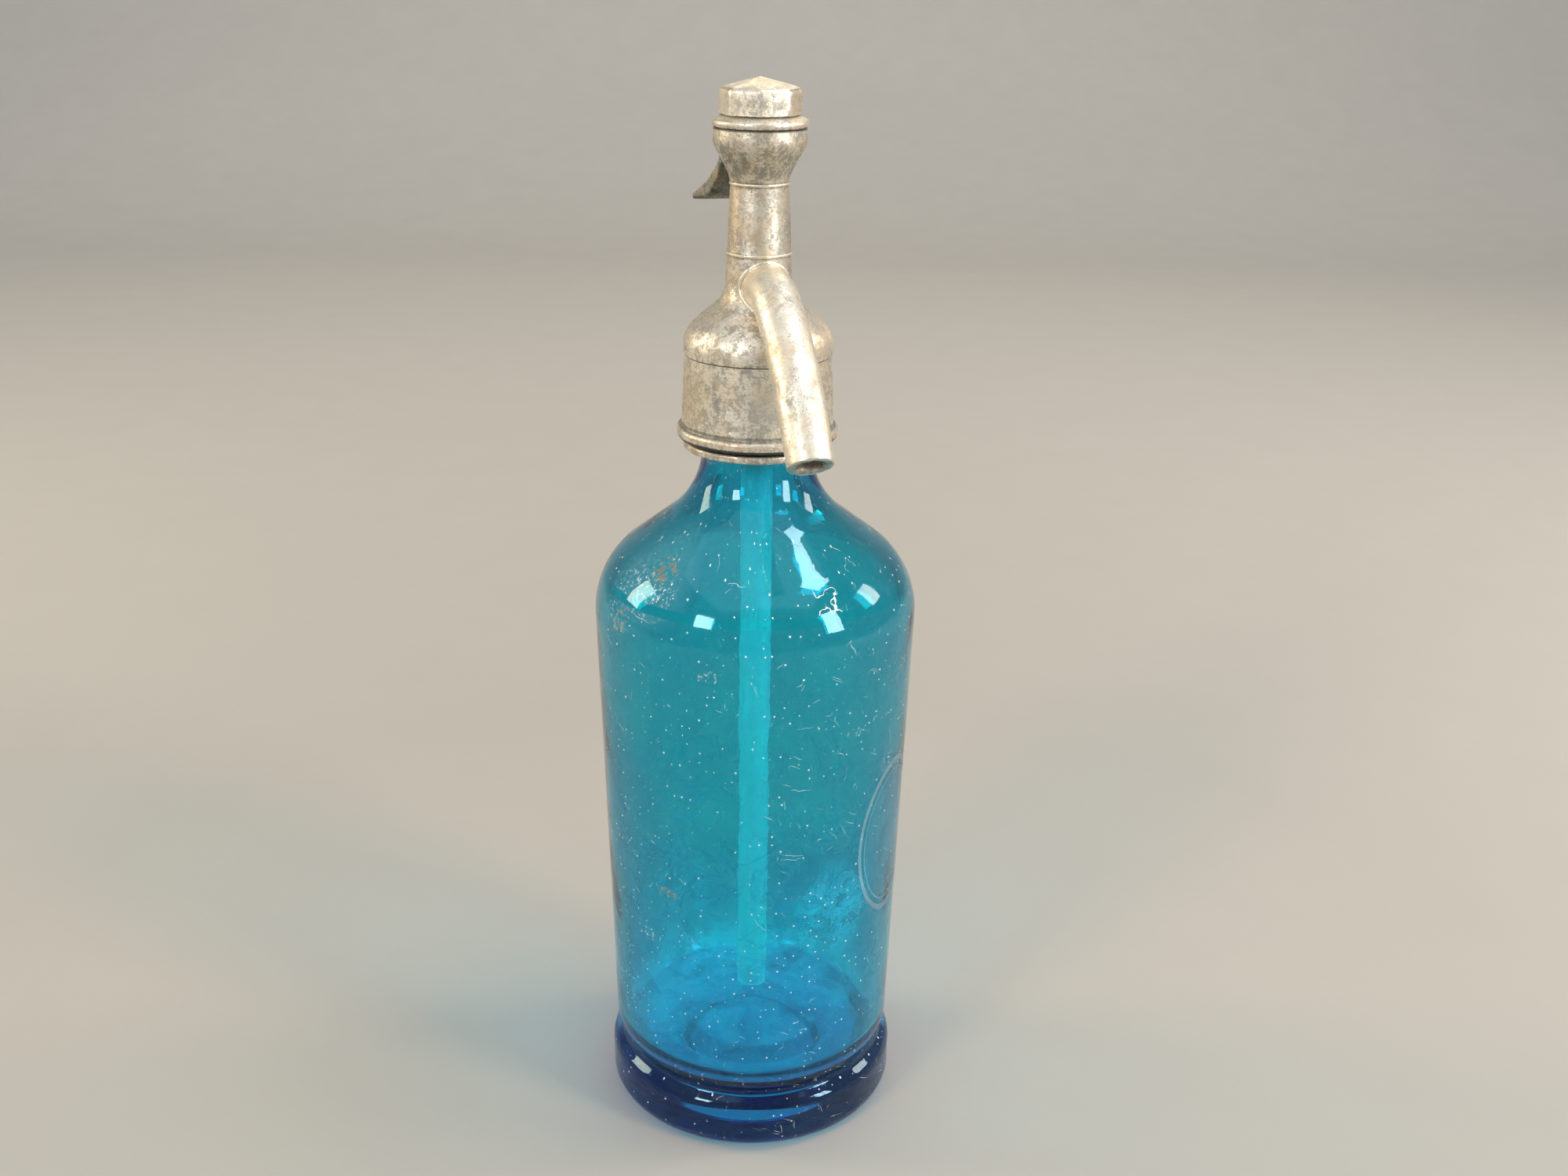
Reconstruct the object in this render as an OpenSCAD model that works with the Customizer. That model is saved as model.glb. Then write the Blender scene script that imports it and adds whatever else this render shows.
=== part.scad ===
// Soda siphon: blown glass bottle, dip tube, cast tin-alloy head with spout,
// thumb lever, spring-closed valve and a screw cap.
// Millimetres, +Z up. The origin is the middle of the bottle's standing face.
// The spout points along -Y and the lever along +Y.

/* [Bottle] */
// Height of the glass from the standing face to the top of its lip
glass_h = 235; // [228:1:250]
// Radius where the body line meets the shoulder line
body_r = 48.8; // [46:0.1:54]
// Rise of the shoulder above level, in degrees
shoulder_rise = 37.3; // [33:0.1:40]
// Rounding of the shoulder
shoulder_round = 26; // [20:1:32]
// Rounding between the shoulder and the neck
neck_round = 26; // [18:1:26]
// Length of the neck, from the shoulder line to the top of the lip
neck_len = 31.6; // [31:0.1:36]
// Radius of the neck just under the head
neck_r = 16.2; // [15.6:0.1:16.6]
// Radius of the neck where the split collar grips it
throat_r = 14.6; // [13.8:0.1:15]
// Radius of the lip that the split collar holds
lip_r = 17; // [16.4:0.1:17]
// Height of the lip
lip_h = 7; // [5:0.5:8]
// Radius of the bore in the neck
mouth_r = 10; // [9:0.1:10.6]
// Thickness of the glass in the body
glass_wall = 4.6; // [3:0.1:6]
// Height of the inside floor above the standing face, at its edge
floor_z = 21; // [19:0.5:24]
// How much higher the inside floor is in the middle
floor_rise = 3.5; // [2.5:0.5:5]
// Radius where the inside floor starts to fall to its edge
floor_top_r = 21; // [18:0.5:23]
// Rounding between the inside floor and the wall
floor_round = 8; // [5:0.5:9]
// Radius of the foot ring
foot_r = 45.8; // [44:0.1:48]
// Height of the foot ring
foot_h = 15.8; // [14:0.1:16.5]
// Rounding of the foot ring's lower edge
foot_round = 6; // [3:0.5:9]
// Radius at the bottom of the groove above the foot
groove_r = 42.3; // [40:0.1:42.6]
// Height of the groove above the foot ring
groove_rise = 3.4; // [3:0.1:4]
// Radius of the body just above the groove
waist_r = 44.3; // [43:0.1:45]
// Height of the waist above the groove
waist_rise = 7; // [6:0.1:8]
// Height of the hollow under the bottle
kick_h = 2.5; // [2:0.5:6]
// Radius of the hollow under the bottle
kick_r = 20; // [14:1:32]

/* [Dip tube] */
// Outer radius of the glass dip tube
tube_r = 4.75; // [4:0.05:5]
// Bore radius of the dip tube
tube_bore_r = 3; // [2:0.1:3.2]
// Gap between the dip tube and the inside floor
tube_gap = 10; // [3:0.5:12]

/* [Neck fittings] */
// Thickness of the rubber neck gasket
gasket_t = 3; // [2:0.1:4]
// Radius of the ferrule's flange
flange_r = 13; // [12:0.1:14]
// Thickness of the ferrule's flange
flange_t = 2.4; // [1.5:0.1:3]
// Wall of the ferrule's sleeve round the dip tube
sleeve_wall = 1.6; // [1:0.1:2.2]
// Length of the ferrule's sleeve below its flange
sleeve_len = 16; // [10:1:24]
// Radius of the rubber washer on the ferrule
washer_r = 9; // [7.5:0.1:10]
// Thickness of the rubber washer on the ferrule
washer_t = 1.2; // [0.8:0.1:2]
// Height of the split collar's flange
collar_flange_h = 3; // [2:0.1:4]
// Height of the split collar's sleeve
collar_sleeve_h = 5; // [3:0.1:5.5]
// Gap between the two halves of the split collar
collar_gap = 0.8; // [0.4:0.1:1.6]
// Wall of the split collar's sleeve
collar_wall = 2.3; // [1.8:0.1:2.4]
// How far the split collar's flange stands out from its sleeve
collar_step = 1.1; // [0.8:0.1:1.1]
// Radius of the clamp ring's thread
thread_r = 19.6; // [19.4:0.05:19.8]
// Length of the clamp ring's thread
thread_len = 10.4; // [9:0.1:11]
// Radius of the clamp ring's visible rim
rim_r = 21.7; // [20.6:0.1:22.6]
// Height of the clamp ring's visible rim
rim_h = 2.4; // [1.8:0.1:2.6]
// Height of the dark gap between the rim and the skirt
rim_gap = 0.8; // [0.4:0.1:1.2]

/* [Head] */
// Height of the skirt from its lower edge to the bell
skirt_h = 24.8; // [23:0.1:27]
// Radius of the skirt just under the bell
skirt_top_r = 21.2; // [21:0.1:21.4]
// Radius of the skirt just above its bead
skirt_low_r = 22.3; // [22:0.1:22.6]
// Radius of the bead round the skirt's lower edge
bead_r = 23.6; // [23:0.1:24.2]
// Height of the bead round the skirt's lower edge
bead_h = 3; // [2.4:0.1:3.6]
// Radius of the bell
bell_r = 21.6; // [21.5:0.05:22]
// Height of the bell's straight edge
bell_h = 6; // [4:0.1:8]
// Rise of the bell's slope above level, in degrees
bell_rise = 40.4; // [36:0.1:44]
// Radius of the column where it leaves the bell
column_low_r = 9.7; // [9.4:0.05:10.2]
// Radius of the column under the bulb
column_top_r = 8.1; // [8:0.05:8.6]
// Height of the column between the bell and the bulb
column_h = 32.7; // [32:0.1:36]
// Radius of the bulb
bulb_r = 13.1; // [12.9:0.05:13.6]
// Height of the bulb's slope
bulb_rise = 9.3; // [8:0.1:10]
// Height of the bulb above its slope
bulb_h = 4.3; // [4:0.1:5]
// Wall of the bulb
bulb_wall = 3.5; // [3.3:0.1:3.6]
// Thickness of the bulb's roof round the threaded collar
bulb_roof = 1.5; // [1.2:0.1:1.6]
// Height of the lower raised line above the column's foot
low_line_h = 12.1; // [10:0.1:14]
// Height of the upper raised line above the column's foot
high_line_h = 31.3; // [28:0.1:32]
// Section radius of the raised lines
line_r = 0.3; // [0.2:0.05:0.4]
// Bore of the valve chamber
chamber_r = 5.6; // [5.2:0.05:5.8]
// Bore of the column above the valve chamber
column_bore_r = 6.2; // [6:0.05:6.3]
// Bore of the passage between the dip tube and the valve seat
passage_r = 4.2; // [3.4:0.1:4.6]
// Length of the passage between the dip tube and the valve seat
passage_h = 6.8; // [6:0.1:8]

/* [Valve] */
// Height of the valve seat
seat_h = 7; // [5:0.1:8]
// Bore of the valve seat
orifice_r = 2.6; // [2:0.1:3]
// Width of the raised lip that the valve disc closes on
seat_lip = 0.8; // [0.5:0.1:1]
// Radius of the rubber valve disc
disc_r = 4.2; // [4:0.05:4.2]
// Thickness of the rubber valve disc
disc_t = 2.5; // [2:0.1:3]
// Radius of the holder round the valve disc
holder_r = 4.9; // [4.8:0.05:5]
// Height of the holder
holder_h = 5; // [4:0.1:6]
// Radius of the piston rod
rod_r = 2; // [1.6:0.05:2]
// Height of the valve chamber above the top of the seat
chamber_h = 15; // [14:0.1:16]
// Height of the stuffing box
box_h = 6; // [5:0.1:7]
// Thickness of the stuffing box's floor
box_floor = 1.5; // [1:0.1:2]
// Radius of the packing ring
packing_r = 4.2; // [3.6:0.1:4.4]
// Height of the packing ring
packing_h = 3.2; // [2:0.1:3.4]
// Height of the gland nut above the stuffing box
gland_h = 6; // [4:0.1:7]

/* [Lever] */
// Height of the lever pin above the bulb's foot
pin_rise = 10; // [9.9:0.05:10.2]
// Distance from the piston's axis to the lever pin
pin_y = 10; // [9.8:0.05:10.3]
// Radius of the lever pin
pin_r = 1.25; // [1.1:0.05:1.3]
// How far the lever pin's heads stand out from the bulb
pin_proud = 0.4; // [0.2:0.1:0.8]
// Radius of the hub round the lever pin
hub_r = 2.4; // [2.3:0.05:2.4]
// Width of the lever's hub in the slot
hub_w = 7.4; // [6.6:0.1:7.4]
// Radius of the lever's round tongue end
tongue_r = 1.9; // [1.8:0.05:1.9]
// Width of the tongue
tongue_w = 4.8; // [4:0.1:4.8]
// Reach of the thumb plate from the piston's axis
lever_reach = 48.3; // [44:0.1:52]
// Drop of the thumb plate's tip below the pin
lever_drop = 20.6; // [19:0.1:22]
// Thickness of the thumb plate at its tip
tip_t = 1.6; // [1.2:0.1:2]
// Width of the thumb plate near the bulb
plate_root_w = 14; // [12:0.1:15]
// Width of the thumb plate at its tip
plate_tip_w = 17.8; // [16:0.1:20]
// Rounding of the thumb plate's corners
plate_round = 3; // [2:0.1:4]

/* [Piston top] */
// Radius of the crosshead
cross_r = 6.5; // [6.2:0.1:6.6]
// Height of the crosshead
cross_h = 10; // [9.6:0.1:10.4]
// Radius of the spigot that centres the spring
spigot_r = 4.2; // [3.6:0.1:4.3]
// Height of the spigot that centres the spring
spigot_h = 4; // [3:0.1:5]
// Height of the window that the tongue works in
window_h = 4; // [3.95:0.01:4.1]
// Width of the window that the tongue works in
window_w = 5.2; // [5:0.1:5.4]
// Wire radius of the spring
wire_r = 0.5; // [0.4:0.05:0.55]
// Number of turns of the spring
spring_turns = 4; // [3:0.5:4.5]
// Length of the spring at rest
spring_h = 8.8; // [8:0.1:9.4]

/* [Cap] */
// Height of the threaded collar that the cap screws on
cap_thread_h = 6.9; // [6:0.1:7.2]
// Outer radius of the threaded collar
cap_thread_r = 9; // [8.8:0.05:9.2]
// Inner radius of the threaded collar
cap_thread_bore_r = 7.2; // [7:0.05:7.4]
// Corner radius of the cap's octagon
cap_r = 11.6; // [11.2:0.1:12.2]
// Radius of the bead round the cap's lower edge
cap_bead_r = 13.5; // [13.2:0.1:14]
// Height of the bead round the cap's lower edge
cap_bead_h = 2.8; // [2.2:0.1:3.2]
// Height of the octagon's faces above the bulb
cap_h = 10.4; // [10.2:0.1:11.4]
// Rise of the cap's low roof
cap_roof_h = 3; // [2.6:0.1:4]
// Thickness of the washer that the spring bears on
spring_washer_t = 0.8; // [0.5:0.1:1]
// Turn of the octagon about the axis, in degrees
cap_turn = 30; // [0:1:44]

/* [Spout] */
// Height of the spout's root above the bell's edge
spout_rise = 13.4; // [12.8:0.1:13.8]
// Outer radius of the spout where it meets the column
spout_root_r = 7; // [6.9:0.1:7.2]
// Outer radius of the spout along its bends
spout_r = 6.7; // [6.3:0.1:6.8]
// Outer radius of the spout at its tip
spout_tip_r = 6.4; // [6:0.1:6.6]
// Bore radius of the spout
spout_bore_r = 4; // [3.4:0.1:4.2]
// Level run of the spout before its elbow, from the axis
spout_run = 11.5; // [11:0.1:14]
// Radius of the elbow's centre line
elbow_r = 15.5; // [14:0.1:20]
// Angle that the elbow turns down
elbow_a = 32; // [28:1:36]
// Radius of the long bend's centre line
bend_r = 99; // [80:1:120]
// Angle that the long bend turns down
bend_a = 22; // [18:1:26]
// Length of the straight end of the spout
tip_len = 13; // [10:0.5:18]

/* [Fits] */
// Radial clearance of parts that screw or slide together
fit = 0.1; // [0.05:0.01:0.14]
// Radial clearance of the lever on its pin
pin_fit = 0.05; // [0.03:0.01:0.08]
// Clearance round the lever in the bulb's slot, on each side
slot_fit = 0.3; // [0.25:0.05:0.4]
// Press of the lever that the slot leaves room for, in degrees
press_a = 18; // [16:1:18]

/* [Hidden] */
$fn = 96;
// Largest step of an arc in an outline, in degrees
arc_step = 4.5;
// A little extra, so that cuts run past the faces that they open
eps = 1;
// Overlap of the spout's stretches, and how much slimmer the inner one is there
lap = 0.6;
lap_step = 0.05;

// Roundings of the bottle's outline
foot_top_round = 4.5;
groove_round = 2.2;
waist_round = 12;
lip_round = 1;
// Inside floor: how far its middle swells up, the width of the slope to its edge and the rounding there
floor_swell = 1.5;
floor_fall = 6;
floor_fall_round = 8;
// Hollow under the bottle: width of its slope and the rounding at its top
kick_slope = 1.6;
kick_round = 1.8;
// Length of the slope from the neck in to the throat, and its gap under the collar
throat_slope = 1.6;
throat_gap = 0.2;

// Heights of the bottle: groove and waist above the foot, neck and shoulder below the lip
groove_z = foot_h + groove_rise;
waist_z = groove_z + waist_rise;
neck_z = glass_h - neck_len;
shoulder_z = neck_z - (body_r - neck_r) * tan(shoulder_rise);
lip_z = glass_h - lip_h;
collar_z = lip_z - collar_flange_h - collar_sleeve_h;
throat_z = collar_z - throat_gap;

// Shoulder in the ferrule that the dip tube's top meets, and the wider bores above it
tube_seat = 1;
bore_step = 0.2;
// Gap between the gasket and the edges of the lip, inside and outside
gasket_gap = 0.2;
// Height of the clamp ring's thread above the lip's lower edge
ring_rise = 1;
// Roundings of the clamp ring's rim, below and above
rim_low_round = 0.6;
rim_top_round = 0.9;

// Heights of the head, upward from the lip of the bottle
head_z = glass_h + gasket_t;
flange_top_z = head_z + flange_t;
tube_top_z = flange_top_z - tube_seat;
washer_top_z = flange_top_z + washer_t;
seat_z = washer_top_z + passage_h;
valve_z = seat_z + seat_h;
box_z = valve_z + chamber_h;
box_top_z = box_z + box_h;
gland_top_z = box_top_z + gland_h;

// Clamp ring, downward from the ledge that carries the split collar
ledge_z = lip_z - collar_flange_h;
collar_in_r = throat_r + 2 * fit;
collar_out_r = collar_in_r + collar_wall;
collar_flange_r = collar_out_r + collar_step;
ring_bore_r = collar_out_r + 2 * fit;
ring_top_z = lip_z + ring_rise;
skirt_z = ring_top_z - thread_len + rim_gap;
rim_z = skirt_z - rim_gap - rim_h;
skirt_bore_r = thread_r + fit;

// Roundings and small slopes of the head's outline, from the bead up
bead_round = 1.4;
bead_slope = 0.9;
bell_lip = 0.4;
bell_round = min(10, 1.6 * bell_h);
foot_of_column_round = 9;
under_bulb_round = 9;
bulb_round = 5.5;
bulb_lean = 0.1;
bulb_edge_round = 0.5;

// Outside of the head
bell_z = skirt_z + skirt_h;
bell_top_z = bell_z + bell_h;
column_z = bell_top_z + (bell_r - column_low_r) * tan(bell_rise);
bulb_z = column_z + column_h;
bulb_top_z = bulb_z + bulb_rise + bulb_h;
spout_z = bell_top_z + spout_rise;
pin_z = bulb_z + pin_rise;

// Hollow in the bulb: drop of its widest place below the outside's, and its rounding
hollow_drop = 1.3;
hollow_round = 4;

// Valve: how far the disc stands out of its holder, the web of the holder between the
// disc and the rod, and the chamfer outside the seat's lip
disc_proud = 1;
holder_web = 1;
seat_step = 1.6;
seat_slope = 0.6;
// Screwdriver slot across the gland nut: width and depth
gland_slot_w = 1.6;
gland_slot_h = 1.5;

// Slot in the bulb: its lower edge clears the thumb plate when that is pressed
slot_drop = 4.9;
slot_w = hub_w + 2 * slot_fit;
slot_top_z = pin_z + hub_r + slot_fit;
slot_low_z = pin_z - slot_drop;

// Crosshead: its height below the window, the rod's depth in it, the fall of the
// window's rear edge and the half width of the window's level edge
cross_foot = 4;
rod_grip = 3.4;
window_fall = 2.2;
window_level = 1;
// Gap between the spring's wire and the spigot inside it
spring_gap = 0.7;

// Piston top
cross_z = pin_z - window_h / 2 - cross_foot;
cross_top_z = cross_z + cross_h;
spring_top_z = cross_top_z + spring_h;
roof_z = spring_top_z + spring_washer_t;
spring_r = spigot_r + wire_r + spring_gap;

// Lever from the side: half heights of the tongue at its round end and at the hub
tongue_neck = 1.3;
tongue_root = 1.8;
// Shank over the hub: its lap with the hub, and how far out it turns down
shank_lap = 0.5;
shank_out = 4.3;
shank_round = 3;
// Knee on top, outward and down from the pin
knee_out = 10.2;
knee_drop = 6.2;
knee_round = 14;
// Thumb plate, back and up from its tip, and its tip's bevel
plate_back = 17;
plate_lift = 7.4;
plate_top_round = 30;
plate_low_round = 16;
tip_bevel = 0.8;
tip_round = 0.5;
// Belly under the knee and the hollow behind it, outward and down from the pin
belly_out = 12;
belly_drop = 13.1;
belly_round = 12;
neck_out = 2.5;
neck_low_round = 1.5;
// Lever from above: the hub's reach on either side of the pin, then the root and waist
hub_near = 3;
hub_far = 4.4;
hub_slope = 0.7;
hub_far_round = 1.5;
root_out = 8;
root_round = 3;
waist_out = 15;
waist_flare = 0.2;
waist_flare_round = 20;

// Cap: undercut and rounding of the bead, the step from it to the octagon, the
// worn edge round the roof, and the low point in the roof's middle
cap_bead_undercut = 0.6;
cap_bead_round = 0.9;
cap_bead_step = 0.4;
cap_edge_drop = 0.9;
cap_edge_w = 1.5;
cap_edge_rise = 0.55;
roof_flat_r = 3;
roof_drop = 0.6;
roof_round = 4;
// Gap between the threaded collar's top and the cap
cap_thread_gap = 0.3;

function unit(v) = v / norm(v);

// Points of the arc that rounds the corner b between a and c with radius r
function corner(a, b, c, r) =
    let (
        u = unit(a - b),
        v = unit(c - b),
        half = acos(u * v) / 2,
        mid = b + unit(u + v) * r / sin(half),
        p = b + u * r / tan(half) - mid,
        turn = 180 - 2 * half,
        side = sign(u[0] * v[1] - u[1] * v[0]),
        n = max(2, ceil(turn / arc_step))
    )
    [for (i = [0:n])
        let (t = -side * turn * i / n)
        mid + [p[0] * cos(t) - p[1] * sin(t), p[0] * sin(t) + p[1] * cos(t)]];

// Outline through corners [x, y, rounding]; a rounding of 0 keeps the corner
function rounded(q) =
    let (n = len(q))
    [for (i = [0:n - 1])
        let (
            a = q[(i + n - 1) % n],
            b = q[i],
            c = q[(i + 1) % n]
        )
        each b[2] > 0
            ? corner([a[0], a[1]], [b[0], b[1]], [c[0], c[1]], b[2])
            : [[b[0], b[1]]]];

module turned(q) {
    rotate_extrude() polygon(rounded(q));
}

module disc(r, z0, z1) {
    translate([0, 0, z0]) cylinder(r = r, h = z1 - z0);
}

module ring(r_in, r_out, z0, z1) {
    difference() {
        disc(r_out, z0, z1);
        disc(r_in, z0 - eps, z1 + eps);
    }
}

module octagon(corner_r, z0, z1) {
    translate([0, 0, z0]) cylinder(r = corner_r, h = z1 - z0, $fn = 8);
}

// Solid drawn as a [y, z] outline and given a width along X
module across(w) {
    rotate([90, 0, 90]) linear_extrude(height = w, center = true) children();
}

// Half a solid: side is -1 for X below zero and 1 for X above zero
module half(side, gap) {
    intersection() {
        children();
        translate([side * (body_r + gap / 2), 0, 0])
            cube([2 * body_r, 2 * body_r, 3 * glass_h], center = true);
    }
}

/* ---- Bottle and its fittings ---- */

module bottle_outside() {
    turned([
        [0, 0, 0],
        [foot_r, 0, foot_round],
        [foot_r, foot_h, foot_top_round],
        [groove_r, groove_z, groove_round],
        [waist_r, waist_z, waist_round],
        [body_r, shoulder_z, shoulder_round],
        [neck_r, neck_z, neck_round],
        [neck_r, throat_z - throat_slope, lip_round],
        [throat_r, throat_z, lip_round],
        [throat_r, lip_z, 0],
        [lip_r, lip_z, 0],
        [lip_r, glass_h, lip_round],
        [0, glass_h, 0]
    ]);
}

module bottle_inside() {
    in_r = body_r - glass_wall;
    low_r = waist_r - glass_wall;
    in_z = shoulder_z - glass_wall * tan((90 - shoulder_rise) / 2);
    in_neck_z = in_z + (in_r - mouth_r) * tan(shoulder_rise);
    turned([
        [0, floor_z + floor_rise, 0],
        [floor_top_r, floor_z + floor_rise - floor_swell, floor_fall_round],
        [floor_top_r + floor_fall, floor_z, floor_fall_round],
        [low_r, floor_z, floor_round],
        [in_r, in_z, shoulder_round - glass_wall],
        [mouth_r, in_neck_z, neck_round - glass_wall],
        [mouth_r, glass_h + eps, 0],
        [0, glass_h + eps, 0]
    ]);
}

module bottle() {
    color([0.05, 0.55, 0.72])
    difference() {
        bottle_outside();
        bottle_inside();
        turned([
            [0, -eps, 0],
            [kick_r + eps, -eps, 0],
            [kick_r, 0, 0],
            [kick_r - kick_slope, kick_h, kick_round],
            [0, kick_h, 0]
        ]);
    }
}

module dip_tube() {
    color([0.55, 0.85, 0.9])
    ring(tube_bore_r, tube_r, floor_z + floor_rise + tube_gap, tube_top_z);
}

module tube_ferrule() {
    color([0.72, 0.6, 0.36])
    difference() {
        union() {
            disc(tube_r + fit + sleeve_wall, glass_h - sleeve_len, head_z);
            disc(flange_r, head_z, flange_top_z);
        }
        disc(tube_r + fit, glass_h - sleeve_len - eps, tube_top_z);
        disc(tube_bore_r + bore_step, head_z, flange_top_z + eps);
    }
}

module tube_washer() {
    color([0.16, 0.15, 0.15])
    ring(tube_bore_r + 5 * bore_step, washer_r, flange_top_z, washer_top_z);
}

module neck_gasket() {
    color([0.3, 0.16, 0.12])
    ring(mouth_r + gasket_gap, lip_r - gasket_gap, glass_h, head_z);
}

module split_collar(side) {
    color([0.74, 0.62, 0.38])
    half(side, collar_gap)
    difference() {
        union() {
            disc(collar_out_r, collar_z, ledge_z + eps);
            disc(collar_flange_r, ledge_z, lip_z);
        }
        disc(collar_in_r, collar_z - eps, lip_z + eps);
    }
}

module clamp_ring() {
    color([0.6, 0.57, 0.5])
    difference() {
        union() {
            turned([
                [0, rim_z, 0],
                [rim_r, rim_z, rim_low_round],
                [rim_r, rim_z + rim_h, rim_top_round],
                [0, rim_z + rim_h, 0]
            ]);
            disc(thread_r, rim_z + rim_h - eps, ring_top_z);
        }
        disc(ring_bore_r, rim_z - eps, ledge_z + eps);
        disc(collar_flange_r + fit, ledge_z, ring_top_z + eps);
    }
}

/* ---- Head ---- */

module head_outside() {
    turned([
        [0, skirt_z, 0],
        [bead_r, skirt_z, bead_round],
        [bead_r, skirt_z + bead_h, bead_round],
        [skirt_low_r, skirt_z + bead_h + bead_slope, bead_slope],
        [skirt_top_r, bell_z - bell_lip, bell_lip / 2],
        [bell_r, bell_z, bell_lip / 2],
        [bell_r, bell_top_z, bell_round],
        [column_low_r, column_z, foot_of_column_round],
        [column_top_r, bulb_z, under_bulb_round],
        [bulb_r, bulb_z + bulb_rise, bulb_round],
        [bulb_r - bulb_lean, bulb_top_z, bulb_edge_round],
        [0, bulb_top_z, 0]
    ]);
}

// Raised line round the column, h above the column's foot
module raised_line(h) {
    r = column_low_r + (column_top_r - column_low_r) * h / column_h;
    translate([0, 0, column_z + h])
        rotate_extrude() translate([r - line_r / 2, 0]) circle(r = line_r);
}

module head_inside() {
    disc(skirt_bore_r, skirt_z - eps, head_z);
    disc(flange_r + 2 * fit, head_z - eps, flange_top_z);
    disc(washer_r + 2 * fit, flange_top_z - eps, washer_top_z);
    disc(passage_r, washer_top_z - eps, seat_z + eps);
    disc(chamber_r, seat_z, box_z + eps);
    disc(column_bore_r, box_z, bulb_z + eps);
    turned([
        [0, bulb_z - eps, 0],
        [column_bore_r, bulb_z - eps, 0],
        [bulb_r - bulb_wall, bulb_z + bulb_rise - hollow_drop, hollow_round],
        [bulb_r - bulb_wall, bulb_top_z - bulb_roof, 0],
        [cap_thread_bore_r, bulb_top_z - bulb_roof, 0],
        [cap_thread_bore_r, bulb_top_z + cap_thread_h + eps, 0],
        [0, bulb_top_z + cap_thread_h + eps, 0]
    ]);
}

module head_body() {
    color([0.62, 0.6, 0.55])
    difference() {
        union() {
            head_outside();
            raised_line(low_line_h);
            raised_line(high_line_h);
            disc(cap_thread_r, bulb_top_z - eps, bulb_top_z + cap_thread_h);
        }
        head_inside();
        translate([-slot_w / 2, 0, slot_low_z])
            cube([slot_w, bulb_r + eps, slot_top_z - slot_low_z]);
        translate([0, pin_y, pin_z]) rotate([0, 90, 0])
            cylinder(r = pin_r, h = 2 * bulb_r, center = true);
        translate([0, 0, spout_z]) run(spout_run, spout_bore_r - lap_step, spout_bore_r - lap_step);
    }
}

module cap() {
    bead_z = bulb_top_z + cap_bead_h;
    edge_z = bulb_top_z + cap_h;
    color([0.7, 0.67, 0.6])
    difference() {
        union() {
            turned([
                [0, bulb_top_z, 0],
                [cap_bead_r - cap_bead_undercut, bulb_top_z, cap_bead_undercut],
                [cap_bead_r, bulb_top_z + cap_bead_round, cap_bead_round],
                [cap_bead_r, bead_z - cap_bead_round, cap_bead_round],
                [cap_r - cap_bead_undercut, bead_z + cap_bead_step, cap_bead_step],
                [0, bead_z + cap_bead_step, 0]
            ]);
            intersection() {
                rotate([0, 0, cap_turn])
                    octagon(cap_r, bulb_top_z + eps, edge_z + cap_roof_h + eps);
                turned([
                    [0, bulb_top_z + eps, 0],
                    [cap_r + eps, bulb_top_z + eps, 0],
                    [cap_r + eps, edge_z - cap_edge_drop, 0],
                    [cap_r - cap_edge_w, edge_z + cap_edge_rise, cap_edge_drop],
                    [roof_flat_r, edge_z + cap_roof_h - roof_drop, roof_round],
                    [0, edge_z + cap_roof_h, 0]
                ]);
            }
        }
        disc(cap_thread_r + fit, bulb_top_z - eps, bulb_top_z + cap_thread_h + cap_thread_gap);
        disc(cap_thread_bore_r, bulb_top_z, roof_z);
    }
}

/* ---- Spout ---- */

// What follows after a straight run of length l
module after_run(l) {
    translate([0, -l, 0]) children();
}

// What follows after a bend of radius r down through the angle a
module after_bend(r, a) {
    translate([0, 0, -r]) rotate([a, 0, 0]) translate([0, 0, r]) children();
}

module run(l, r1, r2) {
    rotate([90, 0, 0]) cylinder(r1 = r1, r2 = r2, h = l);
}

// A bend of radius r down through the angle a, begun the length early before its start
module bend(r, a, tube, early) {
    back = early / r * 180 / PI;
    translate([0, 0, -r]) rotate([-back, 0, 0]) rotate([0, -90, 180])
        rotate_extrude(angle = a + back) translate([r, 0]) circle(r = tube);
}

// The spout's route as a solid: radii of the root, the end of the level run,
// the elbow, the long bend and the two ends of the straight tip. Stretches
// overlap by a lap, where one is a step slimmer than the other.
module spout_route(root, level, elbow, long, tip_in, tip_out, extra) {
    translate([0, 0, spout_z]) {
        run(spout_run + lap, root, level);
        after_run(spout_run) {
            bend(elbow_r, elbow_a, elbow, 0);
            after_bend(elbow_r, elbow_a) {
                bend(bend_r, bend_a, long, lap);
                after_bend(bend_r, bend_a) translate([0, lap, 0])
                    run(tip_len + lap + extra, tip_in, tip_out);
            }
        }
    }
}

module spout_bore() {
    slim = spout_bore_r - lap_step;
    spout_route(slim, slim, spout_bore_r, slim, spout_bore_r, spout_bore_r, eps);
}

module spout() {
    slim = spout_r - lap_step;
    color([0.66, 0.63, 0.57])
    difference() {
        spout_route(spout_root_r, slim, spout_r, slim, slim - lap_step, spout_tip_r, 0);
        head_outside();
        spout_bore();
    }
}

/* ---- Valve and gland ---- */

module valve_seat() {
    color([0.78, 0.64, 0.34])
    difference() {
        turned([
            [0, seat_z, 0],
            [chamber_r - fit, seat_z, 0],
            [chamber_r - fit, valve_z - seat_step, 0],
            [orifice_r + seat_lip + seat_slope, valve_z - seat_step, 0],
            [orifice_r + seat_lip, valve_z, 0],
            [0, valve_z, 0]
        ]);
        disc(orifice_r, seat_z - eps, valve_z + eps);
    }
}

module valve_disc() {
    color([0.12, 0.12, 0.13])
    disc(disc_r, valve_z, valve_z + disc_t);
}

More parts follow.
